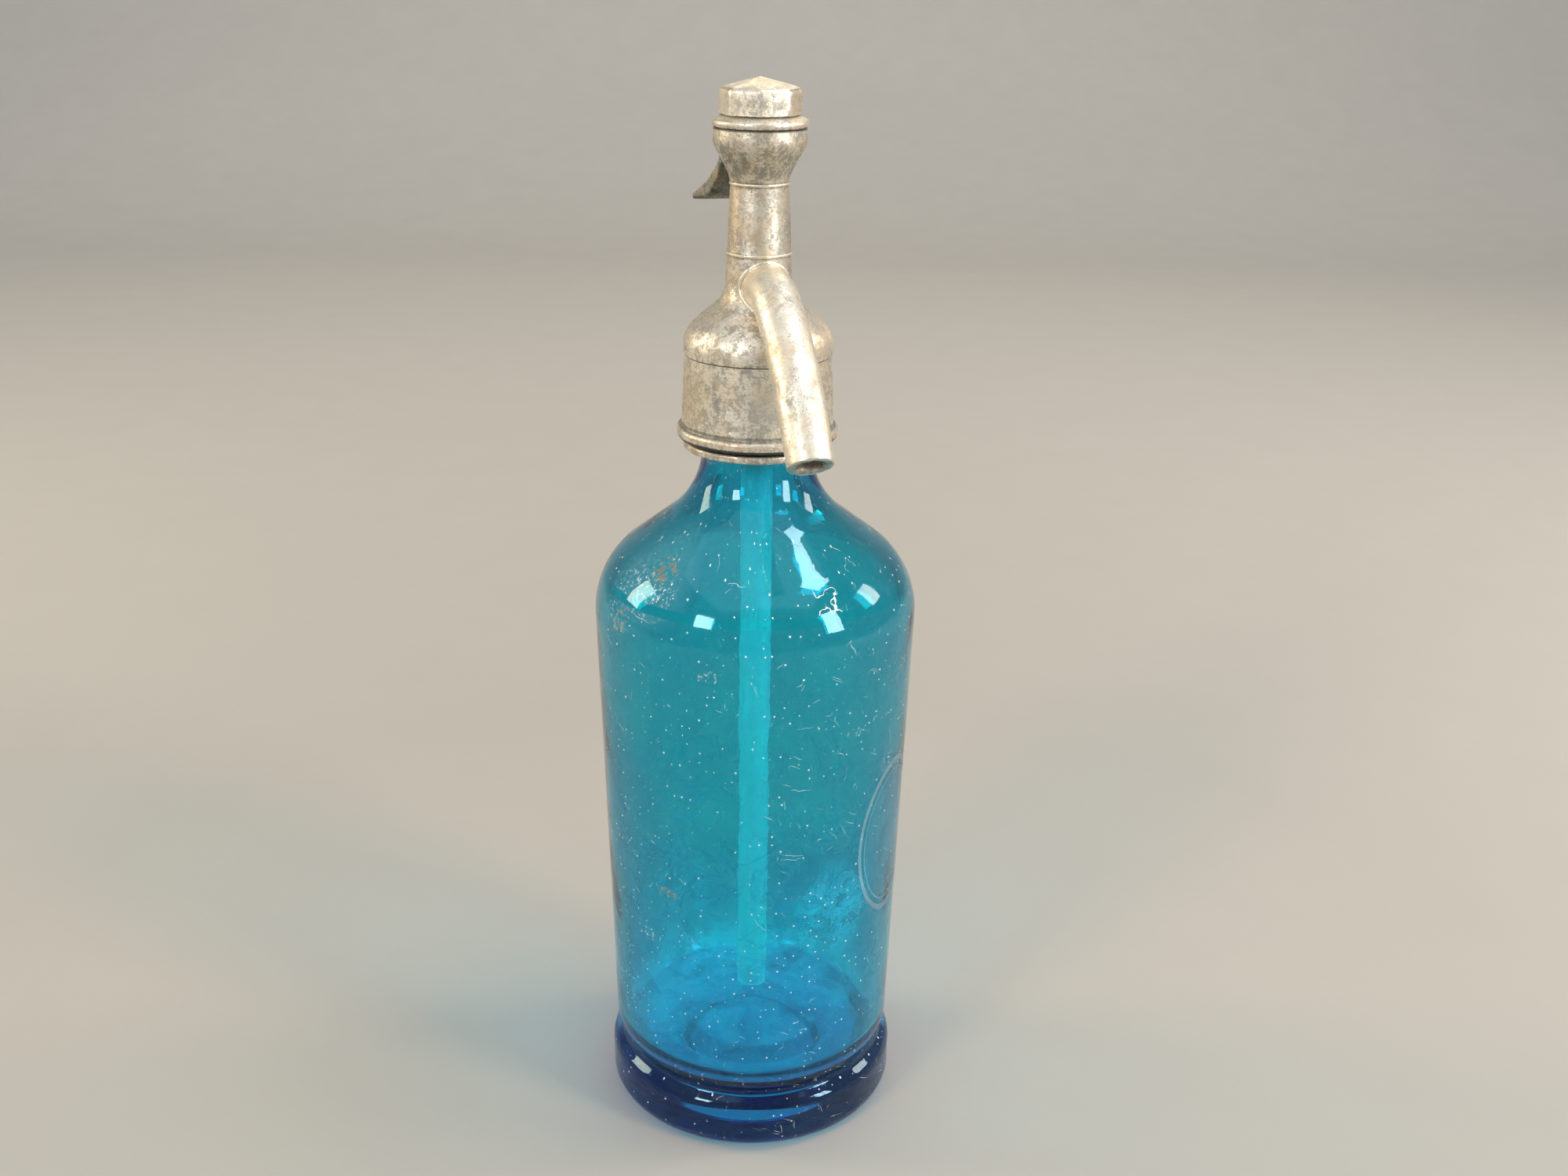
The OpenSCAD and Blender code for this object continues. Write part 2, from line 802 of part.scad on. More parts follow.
module valve_holder() {
    color([0.78, 0.64, 0.34])
    difference() {
        disc(holder_r, valve_z + disc_proud, valve_z + disc_proud + holder_h);
        disc(disc_r, valve_z, valve_z + disc_t);
        disc(rod_r, valve_z + disc_t + holder_web, valve_z + disc_proud + holder_h + eps);
    }
}

module piston_rod() {
    color([0.8, 0.67, 0.38])
    disc(rod_r, valve_z + disc_t + holder_web, cross_z + rod_grip);
}

module stuffing_box() {
    color([0.78, 0.64, 0.34])
    difference() {
        disc(column_bore_r - fit, box_z, box_top_z);
        disc(rod_r + fit, box_z - eps, box_top_z + eps);
        disc(packing_r + fit, box_z + box_floor, box_top_z + eps);
    }
}

module gland_packing() {
    color([0.45, 0.4, 0.3])
    ring(rod_r + fit / 2, packing_r, box_z + box_floor, box_z + box_floor + packing_h);
}

module gland_nut() {
    color([0.78, 0.64, 0.34])
    difference() {
        union() {
            disc(packing_r, box_z + box_floor + packing_h, box_top_z + eps);
            disc(column_bore_r - fit, box_top_z, gland_top_z);
        }
        disc(rod_r + fit, box_z, gland_top_z + eps);
        translate([0, 0, gland_top_z])
            cube([2 * column_bore_r, gland_slot_w, 2 * gland_slot_h], center = true);
    }
}

/* ---- Lever and piston top ---- */

// The lever seen from the side, w wide: tongue, hub and curved thumb plate
module lever_side(w) {
    tip_z = pin_z - lever_drop;
    across(w) translate([0, pin_z]) circle(r = tongue_r);
    across(w) polygon([
        [0, pin_z - tongue_neck],
        [pin_y, pin_z - tongue_root],
        [pin_y, pin_z + tongue_root],
        [0, pin_z + tongue_neck]
    ]);
    across(w) translate([pin_y, pin_z]) circle(r = hub_r);
    across(w) polygon(rounded([
        [pin_y - shank_lap, pin_z + hub_r - shank_lap, 0],
        [pin_y + shank_out, pin_z + hub_r - shank_lap, shank_round],
        [pin_y + knee_out, pin_z - knee_drop, knee_round],
        [lever_reach - plate_back, tip_z + plate_lift, plate_top_round],
        [lever_reach, tip_z, tip_round],
        [lever_reach - tip_bevel, tip_z - tip_t, tip_round],
        [lever_reach - plate_back, tip_z + tip_bevel, plate_low_round],
        [pin_y + belly_out, pin_z - belly_drop, belly_round],
        [pin_y + neck_out, pin_z - hub_r - shank_lap, neck_low_round],
        [pin_y - shank_lap, pin_z - hub_r + shank_lap, 0]
    ]));
}

// Plan outline of the lever in [x, y]
module lever_plan() {
    right = [
        [tongue_w / 2, -tongue_r - eps, 0],
        [tongue_w / 2, pin_y - hub_near - hub_slope, hub_slope / 2],
        [hub_w / 2, pin_y - hub_near, hub_slope / 2],
        [hub_w / 2, pin_y + hub_far, hub_far_round],
        [plate_root_w / 2, pin_y + root_out, root_round],
        [plate_root_w / 2 + waist_flare, pin_y + waist_out, waist_flare_round],
        [plate_tip_w / 2, lever_reach, plate_round]
    ];
    n = len(right);
    left = [for (i = [0:n - 1]) let (q = right[n - 1 - i]) [-q[0], q[1], q[2]]];
    polygon(rounded(concat(right, left)));
}

module lever() {
    color([0.56, 0.54, 0.49])
    difference() {
        intersection() {
            lever_side(2 * plate_tip_w);
            translate([0, 0, pin_z - 60]) linear_extrude(height = 120) lever_plan();
        }
        translate([0, pin_y, pin_z]) rotate([0, 90, 0])
            cylinder(r = pin_r + pin_fit, h = 4 * hub_w, center = true);
    }
}

module lever_pin() {
    reach = sqrt(bulb_r * bulb_r - pin_y * pin_y) + pin_proud;
    color([0.5, 0.48, 0.44])
    translate([0, pin_y, pin_z]) rotate([0, 90, 0])
        cylinder(r = pin_r, h = 2 * reach, center = true);
}

module crosshead() {
    color([0.78, 0.64, 0.34])
    difference() {
        union() {
            disc(cross_r, cross_z, cross_top_z);
            disc(spigot_r, cross_top_z - eps, cross_top_z + spigot_h);
        }
        disc(rod_r, cross_z - eps, cross_z + rod_grip);
        across(window_w) polygon([
            [-cross_r - eps, pin_z - window_h / 2],
            [-cross_r - eps, pin_z + window_h / 2],
            [cross_r + eps, pin_z + window_h / 2],
            [cross_r + eps, pin_z - window_h / 2 - window_fall],
            [window_level, pin_z - window_h / 2]
        ]);
    }
}

// Round wire on a helix, as rings of points joined into one closed skin
module coil(r, wire, turns, z0, z1, per_turn, sides) {
    n = ceil(turns * per_turn);
    rise = (z1 - z0 - 2 * wire) / n;
    slope = atan2(rise * per_turn, 2 * PI * r);
    points = [for (i = [0:n]) for (k = [0:sides - 1])
        let (
            a = i * 360 / per_turn,
            b = k * 360 / sides,
            out = r + wire * cos(b),
            up = wire * sin(b)
        )
        [
            out * cos(a) + up * sin(slope) * sin(a),
            out * sin(a) - up * sin(slope) * cos(a),
            z0 + wire + i * rise + up * cos(slope)
        ]];
    sides_list = [for (i = [0:n - 1]) for (k = [0:sides - 1])
        let (
            a = i * sides + k,
            b = i * sides + (k + 1) % sides
        )
        each [[a, b + sides, b], [a, a + sides, b + sides]]];
    ends = [for (k = [1:sides - 2])
        each [[0, k, k + 1], [n * sides, n * sides + k + 1, n * sides + k]]];
    polyhedron(points = points, faces = concat(sides_list, ends));
}

module spring() {
    color([0.5, 0.5, 0.52])
    coil(spring_r, wire_r, spring_turns, cross_top_z, spring_top_z, 24, 8);
}

module spring_washer() {
    color([0.6, 0.6, 0.6])
    ring(spigot_r - 2, cap_thread_bore_r - 2 * fit, spring_top_z, roof_z);
}

bottle();
dip_tube();
tube_ferrule();
tube_washer();
neck_gasket();
split_collar(-1);  // split_collar_left
split_collar(1);  // split_collar_right
clamp_ring();
head_body();
spout();
valve_seat();
valve_disc();
valve_holder();
piston_rod();
stuffing_box();
gland_packing();
gland_nut();
crosshead();
spring();
spring_washer();
lever();
lever_pin();
cap();
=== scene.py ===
"""Soda siphon: looks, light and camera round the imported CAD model.

Outlines, sizes and places are in millimetres, and meshes are written in metres.
"""
import math

import bmesh
import bpy
import numpy as np
from mathutils import Matrix, Vector, noise


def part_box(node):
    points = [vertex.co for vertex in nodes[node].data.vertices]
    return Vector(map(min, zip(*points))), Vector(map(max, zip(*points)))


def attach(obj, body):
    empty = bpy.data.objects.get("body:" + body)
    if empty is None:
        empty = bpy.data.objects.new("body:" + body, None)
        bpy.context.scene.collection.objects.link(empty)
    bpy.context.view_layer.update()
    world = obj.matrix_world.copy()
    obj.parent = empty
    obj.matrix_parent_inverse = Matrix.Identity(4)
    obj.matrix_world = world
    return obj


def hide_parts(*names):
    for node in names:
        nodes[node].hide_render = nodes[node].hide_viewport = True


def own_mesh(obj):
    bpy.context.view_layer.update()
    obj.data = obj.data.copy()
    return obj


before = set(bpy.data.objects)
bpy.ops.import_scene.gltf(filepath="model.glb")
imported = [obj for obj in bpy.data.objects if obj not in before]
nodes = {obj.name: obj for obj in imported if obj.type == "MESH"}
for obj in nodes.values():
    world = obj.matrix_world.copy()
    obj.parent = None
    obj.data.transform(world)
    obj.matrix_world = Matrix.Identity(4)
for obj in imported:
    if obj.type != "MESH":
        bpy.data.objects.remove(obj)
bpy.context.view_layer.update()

MM = 0.001


# ---- camera ----

CAMERA_FAR, CAMERA_HIGH = 479.5, 351.7  # from the bottle's axis, and above the floor
CAMERA_DOWN, CAMERA_YAW, CAMERA_ROLL = 20.61, 1.025, 0.94  # degrees
SPOUT_RIGHT = 15.0  # how far the spout is turned from the camera to the right, in degrees
LENS, SENSOR = 38.84, 36


def photo_camera():
    """The photograph's camera, in its place and turn about the bottle's axis."""
    pitch, yaw, roll = (math.radians(a) for a in (CAMERA_DOWN, CAMERA_YAW, CAMERA_ROLL))
    ahead = Vector((math.sin(yaw) * math.cos(pitch), math.cos(yaw) * math.cos(pitch), -math.sin(pitch)))
    right = Vector((math.cos(yaw), -math.sin(yaw), 0))
    up = right.cross(ahead)
    right, up = math.cos(roll) * right + math.sin(roll) * up, math.cos(roll) * up - math.sin(roll) * right
    place = Matrix((right, up, -ahead)).transposed().to_4x4()
    place.translation = Vector((0, -CAMERA_FAR, CAMERA_HIGH)) * MM
    camera = bpy.data.cameras.new("camera")
    camera.lens, camera.sensor_width = LENS, SENSOR
    camera.clip_start, camera.clip_end = 0.01, 50
    eye = bpy.data.objects.new("camera", camera)
    eye.matrix_world = Matrix.Rotation(math.radians(-SPOUT_RIGHT), 4, "Z") @ place
    bpy.context.scene.collection.objects.link(eye)
    bpy.context.scene.camera = eye


photo_camera()


# ---- outlines and meshes ----

def slope(degrees):
    return math.tan(math.radians(degrees))


def corner(a, b, c, r, step):
    """Points of the arc of radius r that rounds the corner b between a and c."""
    a, b, c = (np.array(v[:2], float) for v in (a, b, c))
    u, v = (a - b) / np.linalg.norm(a - b), (c - b) / np.linalg.norm(c - b)
    half = math.acos(np.clip(u @ v, -1, 1)) / 2
    mid = b + (u + v) / np.linalg.norm(u + v) * r / math.sin(half)
    p = b + u * r / math.tan(half) - mid
    turn = math.pi - 2 * half
    side = np.sign(u[0] * v[1] - u[1] * v[0])
    n = max(3, math.ceil(math.degrees(turn) / step))
    angles = [-side * turn * i / n for i in range(n + 1)]
    return [
        mid + (p[0] * math.cos(t) - p[1] * math.sin(t), p[0] * math.sin(t) + p[1] * math.cos(t))
        for t in angles]


def rounded(q, step=4.0, closed=False):
    """Outline through corners (x, y, rounding); a rounding of 0 keeps the corner."""
    out = []
    for i, b in enumerate(q):
        end = not closed and i in (0, len(q) - 1)
        if b[2] > 0 and not end:
            out += corner(q[i - 1], b, q[(i + 1) % len(q)], b[2], step)
        else:
            out.append(np.array(b[:2], float))
    return np.array(out)


def dense(points, gap):
    """The same line with points at most gap apart."""
    out = [points[0]]
    for a, b in zip(points[:-1], points[1:]):
        n = max(1, math.ceil(np.linalg.norm(b - a) / gap))
        out += [a + (b - a) * i / n for i in range(1, n + 1)]
    return np.array(out)


def mesh_object(name, verts, faces, sharp=40):
    """An object of these points and faces, smooth but for edges sharper than that many degrees."""
    mesh = bpy.data.meshes.new(name)
    mesh.from_pydata([tuple(v) for v in np.asarray(verts) * MM], [], [tuple(f) for f in faces])
    mesh.validate()
    mesh.update()
    mesh.shade_smooth()
    mesh.set_sharp_from_angle(angle=math.radians(sharp))
    piece = bpy.data.objects.new(name, mesh)
    bpy.context.scene.collection.objects.link(piece)
    return piece


def quads(rings, sides, along=False):
    """Faces between rings of that many points, each ring given by the number of its first point.

    They wind round the ring first, or with along from ring to ring first.
    """
    faces = []
    for a, b in zip(rings, rings[1:]):
        for k in range(sides):
            m = (k + 1) % sides
            faces.append((a + k, b + k, b + m, a + m) if along else (a + k, a + m, b + m, b + k))
    return faces


def end_faces(last, sides):
    """The faces that close a bar of rings at its first ring, number 0, and its last."""
    return [tuple(reversed(range(sides))), tuple(range(last, last + sides))]


def turned(name, line, around=192, move=None, sharp=40, loop=False):
    """A surface turned about Z from a line of (radius, height), closed at radius 0 or back to its start.

    move(points, number of each point's ring) gives the points' final places.
    """
    verts, rings = [], []
    angles = np.arange(around) * 2 * math.pi / around
    for r, z in line:
        if r < 1e-6:
            rings.append([len(verts)])
            verts.append((0, 0, z))
        else:
            rings.append(range(len(verts), len(verts) + around))
            verts += [(r * math.cos(t), r * math.sin(t), z) for t in angles]
    number = np.repeat(np.arange(len(rings)), [len(ring) for ring in rings])
    faces = []
    for low, high in zip(rings, rings[1:] + rings[:1] if loop else rings[1:]):
        for k in range(around):
            m = (k + 1) % around
            if len(low) == 1:
                faces.append((low[0], high[m], high[k]))
            elif len(high) == 1:
                faces.append((low[k], low[m], high[0]))
            else:
                faces.append((low[k], low[m], high[m], high[k]))
    verts = np.array(verts)
    if move:
        verts = move(verts, number)
    return mesh_object(name, verts, faces, sharp)


def face_outwards(piece):
    b = bmesh.new()
    b.from_mesh(piece.data)
    bmesh.ops.recalc_face_normals(b, faces=b.faces)
    b.to_mesh(piece.data)
    b.free()


def lump(point, size, shift=(0, 0, 0), octaves=2):
    """Smooth noise from about -1 to 1; size is the width of a bump."""
    return noise.fractal(Vector(point) / size + Vector(shift), 1.0, 2.0, octaves)


def bumps(points, size, seed):
    """The same at many points, with a pattern of its own for each seed."""
    return np.array([lump(p, size, (seed * 17.3, seed * 5.1, seed * 9.7)) for p in points])


def from_axis(points):
    """Unit vectors from the Z axis out to each point."""
    out = np.array(points, float)
    out[:, 2] = 0
    long = np.linalg.norm(out, axis=1)
    return out / np.where(long < 1e-9, 1, long)[:, None]


# ---- bottle ----

GLASS_H, BODY_R, WAIST_R, FOOT_R = 235.0, 48.8, 44.3, 45.8
NECK_R, THROAT_R, LIP_R, MOUTH_R = 16.2, 14.6, 17, 10
SHOULDER_RISE, WALL = 37.3, 4.6
NECK_Z, THROAT_Z, LIP_Z = GLASS_H - 31.6, 219.8, 228
FLOOR_Z, HOLLOW_Z, HOLLOW_R = 20.8, 2.3, 20
SHOULDER_Z = NECK_Z - (BODY_R - NECK_R) * slope(SHOULDER_RISE)


def make_bottle():
    """The bottle's glass, outside from the hollow under the foot up to the lip, and back down inside."""
    outside = [
        (0, HOLLOW_Z, 0), (17.8, HOLLOW_Z, 2.2), (HOLLOW_R, 0, 0.5), (FOOT_R, 0, 6), (FOOT_R, 15.8, 4.5),
        (42.3, 19.2, 2.2), (WAIST_R, 26.2, 12), (BODY_R, SHOULDER_Z, 26), (NECK_R, NECK_Z, 26),
        (NECK_R, 218.2, 1), (THROAT_R, THROAT_Z, 1), (THROAT_R, LIP_Z, 0.3), (LIP_R, LIP_Z, 0.6),
        (LIP_R, GLASS_H, 1)]
    in_r, low_r = BODY_R - WALL, WAIST_R - WALL
    in_z = SHOULDER_Z - WALL * slope((90 - SHOULDER_RISE) / 2)
    in_neck_z = in_z + (in_r - MOUTH_R) * slope(SHOULDER_RISE)
    inside = [
        (MOUTH_R, GLASS_H, 1), (MOUTH_R, in_neck_z, 21.4), (in_r, in_z, 21.4), (low_r, FLOOR_Z, 8),
        (27.2, FLOOR_Z, 7), (21.2, FLOOR_Z + 2.1, 7), (0, FLOOR_Z + 3.7, 0)]
    line = dense(rounded(outside + inside, 3), 2.5)
    mouth = int(np.argmax(line[:, 1] > GLASS_H - 0.01))

    def uneven(verts, rings):
        """Blown glass: the outside is a little uneven, and the inside and its floor more."""
        inner = rings > mouth + 2
        radius = np.hypot(verts[:, 0], verts[:, 1])
        wave = bumps(verts, 38, 1)
        small = bumps(verts, 14, 2)
        free = np.clip((218 - verts[:, 2]) / 12, 0, 1) * np.clip(verts[:, 2] / 12, 0, 1)
        shift = np.where(inner, 0.3 * wave + 0.08 * small, 0.08 * wave + 0.03 * small - 0.13) * free
        shift = np.where(radius > 1, shift, 0)
        verts = verts + from_axis(verts) * shift[:, None]
        floor = inner & (verts[:, 2] < 40)
        verts[:, 2] += np.where(floor, 0.15 * wave + 0.05 * small, 0)
        return verts

    return turned("glass_bottle", line, 192, uneven)


bottle = make_bottle()
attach(bottle, "siphon")
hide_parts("bottle")


# ---- head ----

BELL_R, COLUMN_R, BELL_RISE = 21.6, 9.7, 40.4
SKIRT_Z = 219.4
BELL_Z = SKIRT_Z + 24.8
BELL_TOP = BELL_Z + 6
COLUMN_Z = BELL_TOP + (BELL_R - COLUMN_R) * slope(BELL_RISE)
BULB_Z = COLUMN_Z + 32.7
BULB_TOP = BULB_Z + 13.6
SPOUT_Z = BELL_TOP + 13.4
PIN_Y, PIN_Z, PIN_HOLE_R = 10.0, BULB_Z + 10, 1.25
LINES_Z = (COLUMN_Z + 12.1, COLUMN_Z + 31.3)  # the column's two fine raised lines
THREAD_R, THREAD_TOP = 9.0, BULB_TOP + 6.9
# faces inside the head: gasket, ferrule's flange, its washer, valve seat and stuffing box
GASKET_Z, FLANGE_Z, WASHER_Z, SEAT_Z, STUFFING_Z = 238.0, 240.4, 241.6, 248.4, 270.4

HEAD_OUT = [
    (19.7, SKIRT_Z + 0.2, 0), (20.4, SKIRT_Z, 0.5), (23.6, SKIRT_Z, 1.3), (23.6, SKIRT_Z + 3, 1.3),
    (22.35, SKIRT_Z + 3.8, 0.7), (22.1, SKIRT_Z + 7, 8), (21.2, BELL_Z - 0.45, 0.2),
    (21.62, BELL_Z - 0.1, 0.25), (BELL_R, BELL_TOP, 9.6), (COLUMN_R, COLUMN_Z, 9), (8.1, BULB_Z, 9),
    (13.1, BULB_Z + 9.3, 5.5), (13.0, BULB_TOP, 0.5), (THREAD_R, BULB_TOP, 0.2), (THREAD_R, THREAD_TOP, 0.3)]
HEAD_IN = [
    (7.2, THREAD_TOP), (7.2, BULB_TOP - 1.5), (9.6, BULB_TOP - 1.6), (9.6, BULB_Z + 9), (6.2, BULB_Z + 1),
    (6.2, STUFFING_Z), (5.6, STUFFING_Z), (5.6, SEAT_Z), (4.2, SEAT_Z), (4.2, WASHER_Z), (9.2, WASHER_Z),
    (9.2, FLANGE_Z), (13.2, FLANGE_Z), (13.2, GASKET_Z), (19.7, GASKET_Z)]


def with_lines(line):
    """The column's outline with its two fine raised lines."""
    out = list(line)
    proud, half, clear, widest = 0.28, 0.42, 0.45, 12
    for z in LINES_Z:
        r = float(np.interp(z, line[:, 1], line[:, 0]))
        k = next(i for i, p in enumerate(out) if p[1] > z + clear and p[0] < widest)
        arc = [
            np.array((r + proud * math.sin(t) ** 0.8, z - half * math.cos(t)))
            for t in np.linspace(0.02, math.pi - 0.02, 9)]
        before = [p for p in out[:k] if not (p[0] < widest and abs(p[1] - z) < clear)]
        out = before + arc + out[k:]
    return np.array(out)


def cut(piece, *cutters):
    """Cuts closed pieces out of a closed piece, and removes them."""
    for tool in cutters:
        m = piece.modifiers.new("cut", "BOOLEAN")
        m.operation, m.solver, m.object = "DIFFERENCE", "EXACT", tool
    bpy.context.view_layer.update()
    got = piece.evaluated_get(bpy.context.evaluated_depsgraph_get())
    mesh = bpy.data.meshes.new_from_object(got)
    piece.modifiers.clear()
    piece.data = mesh
    mesh.shade_smooth()
    mesh.set_sharp_from_angle(angle=math.radians(40))
    for tool in cutters:
        bpy.data.objects.remove(tool)


def box_tool(low, high, soft):
    """A closed box with its edges along X rounded."""
    (x0, y0, z0), (x1, y1, z1) = low, high
    line = rounded([(y0, z0, soft), (y1, z0, soft), (y1, z1, soft), (y0, z1, soft)], 15, True)
    n = len(line)
    verts = [(x, y, z) for x in (x0, x1) for y, z in line]
    return mesh_object("tool", verts, quads([0, n], n) + end_faces(n, n))


def bar_tool(a, b, r, sides):
    """A closed straight round bar between two points."""
    a, b = Vector(a), Vector(b)
    along = (b - a).normalized()
    u = along.orthogonal().normalized()
    v = along.cross(u)
    angles = np.arange(sides) * 2 * math.pi / sides
    verts = [tuple(p + r * (math.cos(t) * u + math.sin(t) * v)) for p in (a, b) for t in angles]
    return mesh_object("tool", verts, quads([0, sides], sides) + end_faces(sides, sides))


def make_head():
    """The head's casting, with the lever's slot, the pin's hole and the way into the spout cut out."""
    line = with_lines(dense(rounded(HEAD_OUT, 4), 0.8))

    def cast(verts, rings):
        """Cast and hand-finished: shallow dents and lumps, none where other parts seat."""
        out = from_axis(verts)
        skin = (rings < len(line)) & (verts[:, 2] < BULB_TOP - 0.6)
        uneven = 0.16 * bumps(verts, 13, 3) + 0.05 * bumps(verts, 3.2, 4)
        verts[skin] += out[skin] * uneven[skin, None]
        return verts

    head = turned("tin_head", np.vstack([line, np.array(HEAD_IN)]), 256, cast, 40, True)
    slot = box_tool((-4.0, 4.0, PIN_Z - 4.9), (4.0, 16, PIN_Z + 2.7), 0.5)
    hole = bar_tool((-20, PIN_Y, PIN_Z), (20, PIN_Y, PIN_Z), PIN_HOLE_R, 24)
    way = bar_tool((0, 0, SPOUT_Z), (0, -11.5, SPOUT_Z), 3.95, 32)
    cut(head, slot, hole, way)
    return head


head = make_head()
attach(head, "siphon")
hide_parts("head_body")


# ---- spout ----

# level run from the axis, elbow, long bend and straight tip; angles in degrees
RUN, ELBOW_R, ELBOW_A, BEND_R, BEND_A, TIP = 11.5, 15.5, 32.0, 99.0, 22.0, 13.0
SPOUT_R, SPOUT_BORE_R = 7.0, 4.0
SPOUT_ROOT = 5.5  # where its mesh starts, inside the column


def spout_line(gap=1.0):
    """The centre line from the axis to the tip, as (y, z, angle below level, length so far)."""
    n = math.ceil(RUN / gap)
    out = [(-s, SPOUT_Z, 0.0, s) for s in (RUN * i / n for i in range(n))]
    y, z, done = -RUN, SPOUT_Z, RUN

    def turned_to(a, a0, r):
        """The place on an arc of radius r, begun at the last place and angle a0, at angle a."""
        return (
            y - r * (math.sin(a) - math.sin(a0)), z - r * (math.cos(a0) - math.cos(a)), a,
            done + r * (a - a0))

    for r, start, turn in ((ELBOW_R, 0, ELBOW_A), (BEND_R, ELBOW_A, BEND_A)):
        n = math.ceil(math.radians(turn) * r / gap)
        a0 = math.radians(start)
        out += [turned_to(a0 + math.radians(turn) * i / n, a0, r) for i in range(n)]
        y, z, a1, done = turned_to(math.radians(start + turn), a0, r)
    n = math.ceil(TIP / gap)
    lengths = [TIP * i / n for i in range(n + 1)]
    return out + [(y - s * math.cos(a1), z - s * math.sin(a1), a1, done + s) for s in lengths]


def make_spout():
    """A bent tube with a wall, a rough-cut tip and slight hand-bent unevenness."""
    around = 72
    path = spout_line()
    total = path[-1][3]
    verts, rings = [], []

    def ring(at, radius, push=0.0, rough=0.0, bore=False):
        """A ring square to the centre line, pushed along it and cut back unevenly; a bore is smooth."""
        y, z, a, _ = at
        ahead = Vector((0, -math.cos(a), -math.sin(a)))
        rings.append(len(verts))
        for k in range(around):
            t = k * 2 * math.pi / around
            side = Vector((math.sin(t), 0, 0)) + math.cos(t) * Vector((0, -math.sin(a), math.cos(a)))
            p = Vector((0, y, z)) + side * radius + push * ahead
            if not bore:
                p += side * (0.11 * lump(p, 9, (3, 1, 7)) + 0.05 * lump(p, 2.6))
            if rough:
                p -= rough * (0.5 + 0.5 * lump(p, 1.7, (9, 9, 9), 3)) * ahead
            verts.append(tuple(p))

    stations, radii = (0, RUN, RUN + 20, total - TIP, total), (SPOUT_R, 6.75, 6.65, 6.6, 6.4)
    for at in path:
        if SPOUT_ROOT <= at[3] <= total - 0.9:
            ring(at, float(np.interp(at[3], stations, radii)))
    for radius, push, rough in (
            (6.42, -0.8, 0), (6.4, -0.4, 0.15), (6.15, -0.08, 0.35), (5.7, 0.0, 0.55), (5.1, 0.0, 0.5),
            (4.6, -0.05, 0.5), (4.2, -0.25, 0.4), (SPOUT_BORE_R, -0.8, 0.15)):
        ring(path[-1], radius, push, rough)
    for at in reversed(path[:-2]):
        if at[3] >= SPOUT_ROOT:
            ring(at, SPOUT_BORE_R, bore=True)
    return mesh_object("tin_spout", verts, quads(rings + rings[:1], around, True))


def head_radius(z):
    """Radius of the bell and column at a height."""
    line = rounded(HEAD_OUT, 4)
    line = line[(line[:, 1] > SKIRT_Z + 8) & (line[:, 1] < BULB_TOP - 1)]
    return float(np.interp(z, line[:, 1], line[:, 0]))


def make_solder():
    """The bead of solder where the spout meets the column, along the real line of contact."""
    around, sides = 120, 10
    track = []
    for k in range(around):
        t = k * 2 * math.pi / around
        x, z = SPOUT_R * math.sin(t), SPOUT_Z + SPOUT_R * math.cos(t)
        track.append(Vector((x, -math.sqrt(max(head_radius(z) ** 2 - x * x, 0)), z)))
    verts = []
    for k, p in enumerate(track):
        along = (track[(k + 1) % around] - track[k - 1]).normalized()
        away = Vector((p.x, 0, p.z - SPOUT_Z)).normalized()
        out = along.cross(away).normalized()
        fat = 0.75 + 0.2 * noise.noise(p / 4.0)
        for j in range(sides):
            t = j * 2 * math.pi / sides
            verts.append(tuple(p + away * (0.15 + fat * 0.9 * math.cos(t)) + out * fat * 0.8 * math.sin(t)))
    rings = [k * sides for k in range(around)] + [0]
    piece = mesh_object("spout_solder", verts, quads(rings, sides), 80)
    face_outwards(piece)
    return piece


spout = make_spout()
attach(spout, "siphon")
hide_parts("spout")
solder = make_solder()
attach(solder, "siphon")


# ---- cap ----

CAP_TURN = math.radians(30)


def octagon(t, r, soft):
    """Distance from the axis to an octagon of corner radius r in direction t, its corners softened."""
    eighth = math.pi / 4
    a = (t - CAP_TURN) % eighth - eighth / 2
    side = r * math.cos(eighth / 2) / math.cos(a)
    reach = r - soft
    return -math.log(math.exp(-side * 6) + math.exp(-reach * 6)) / 6


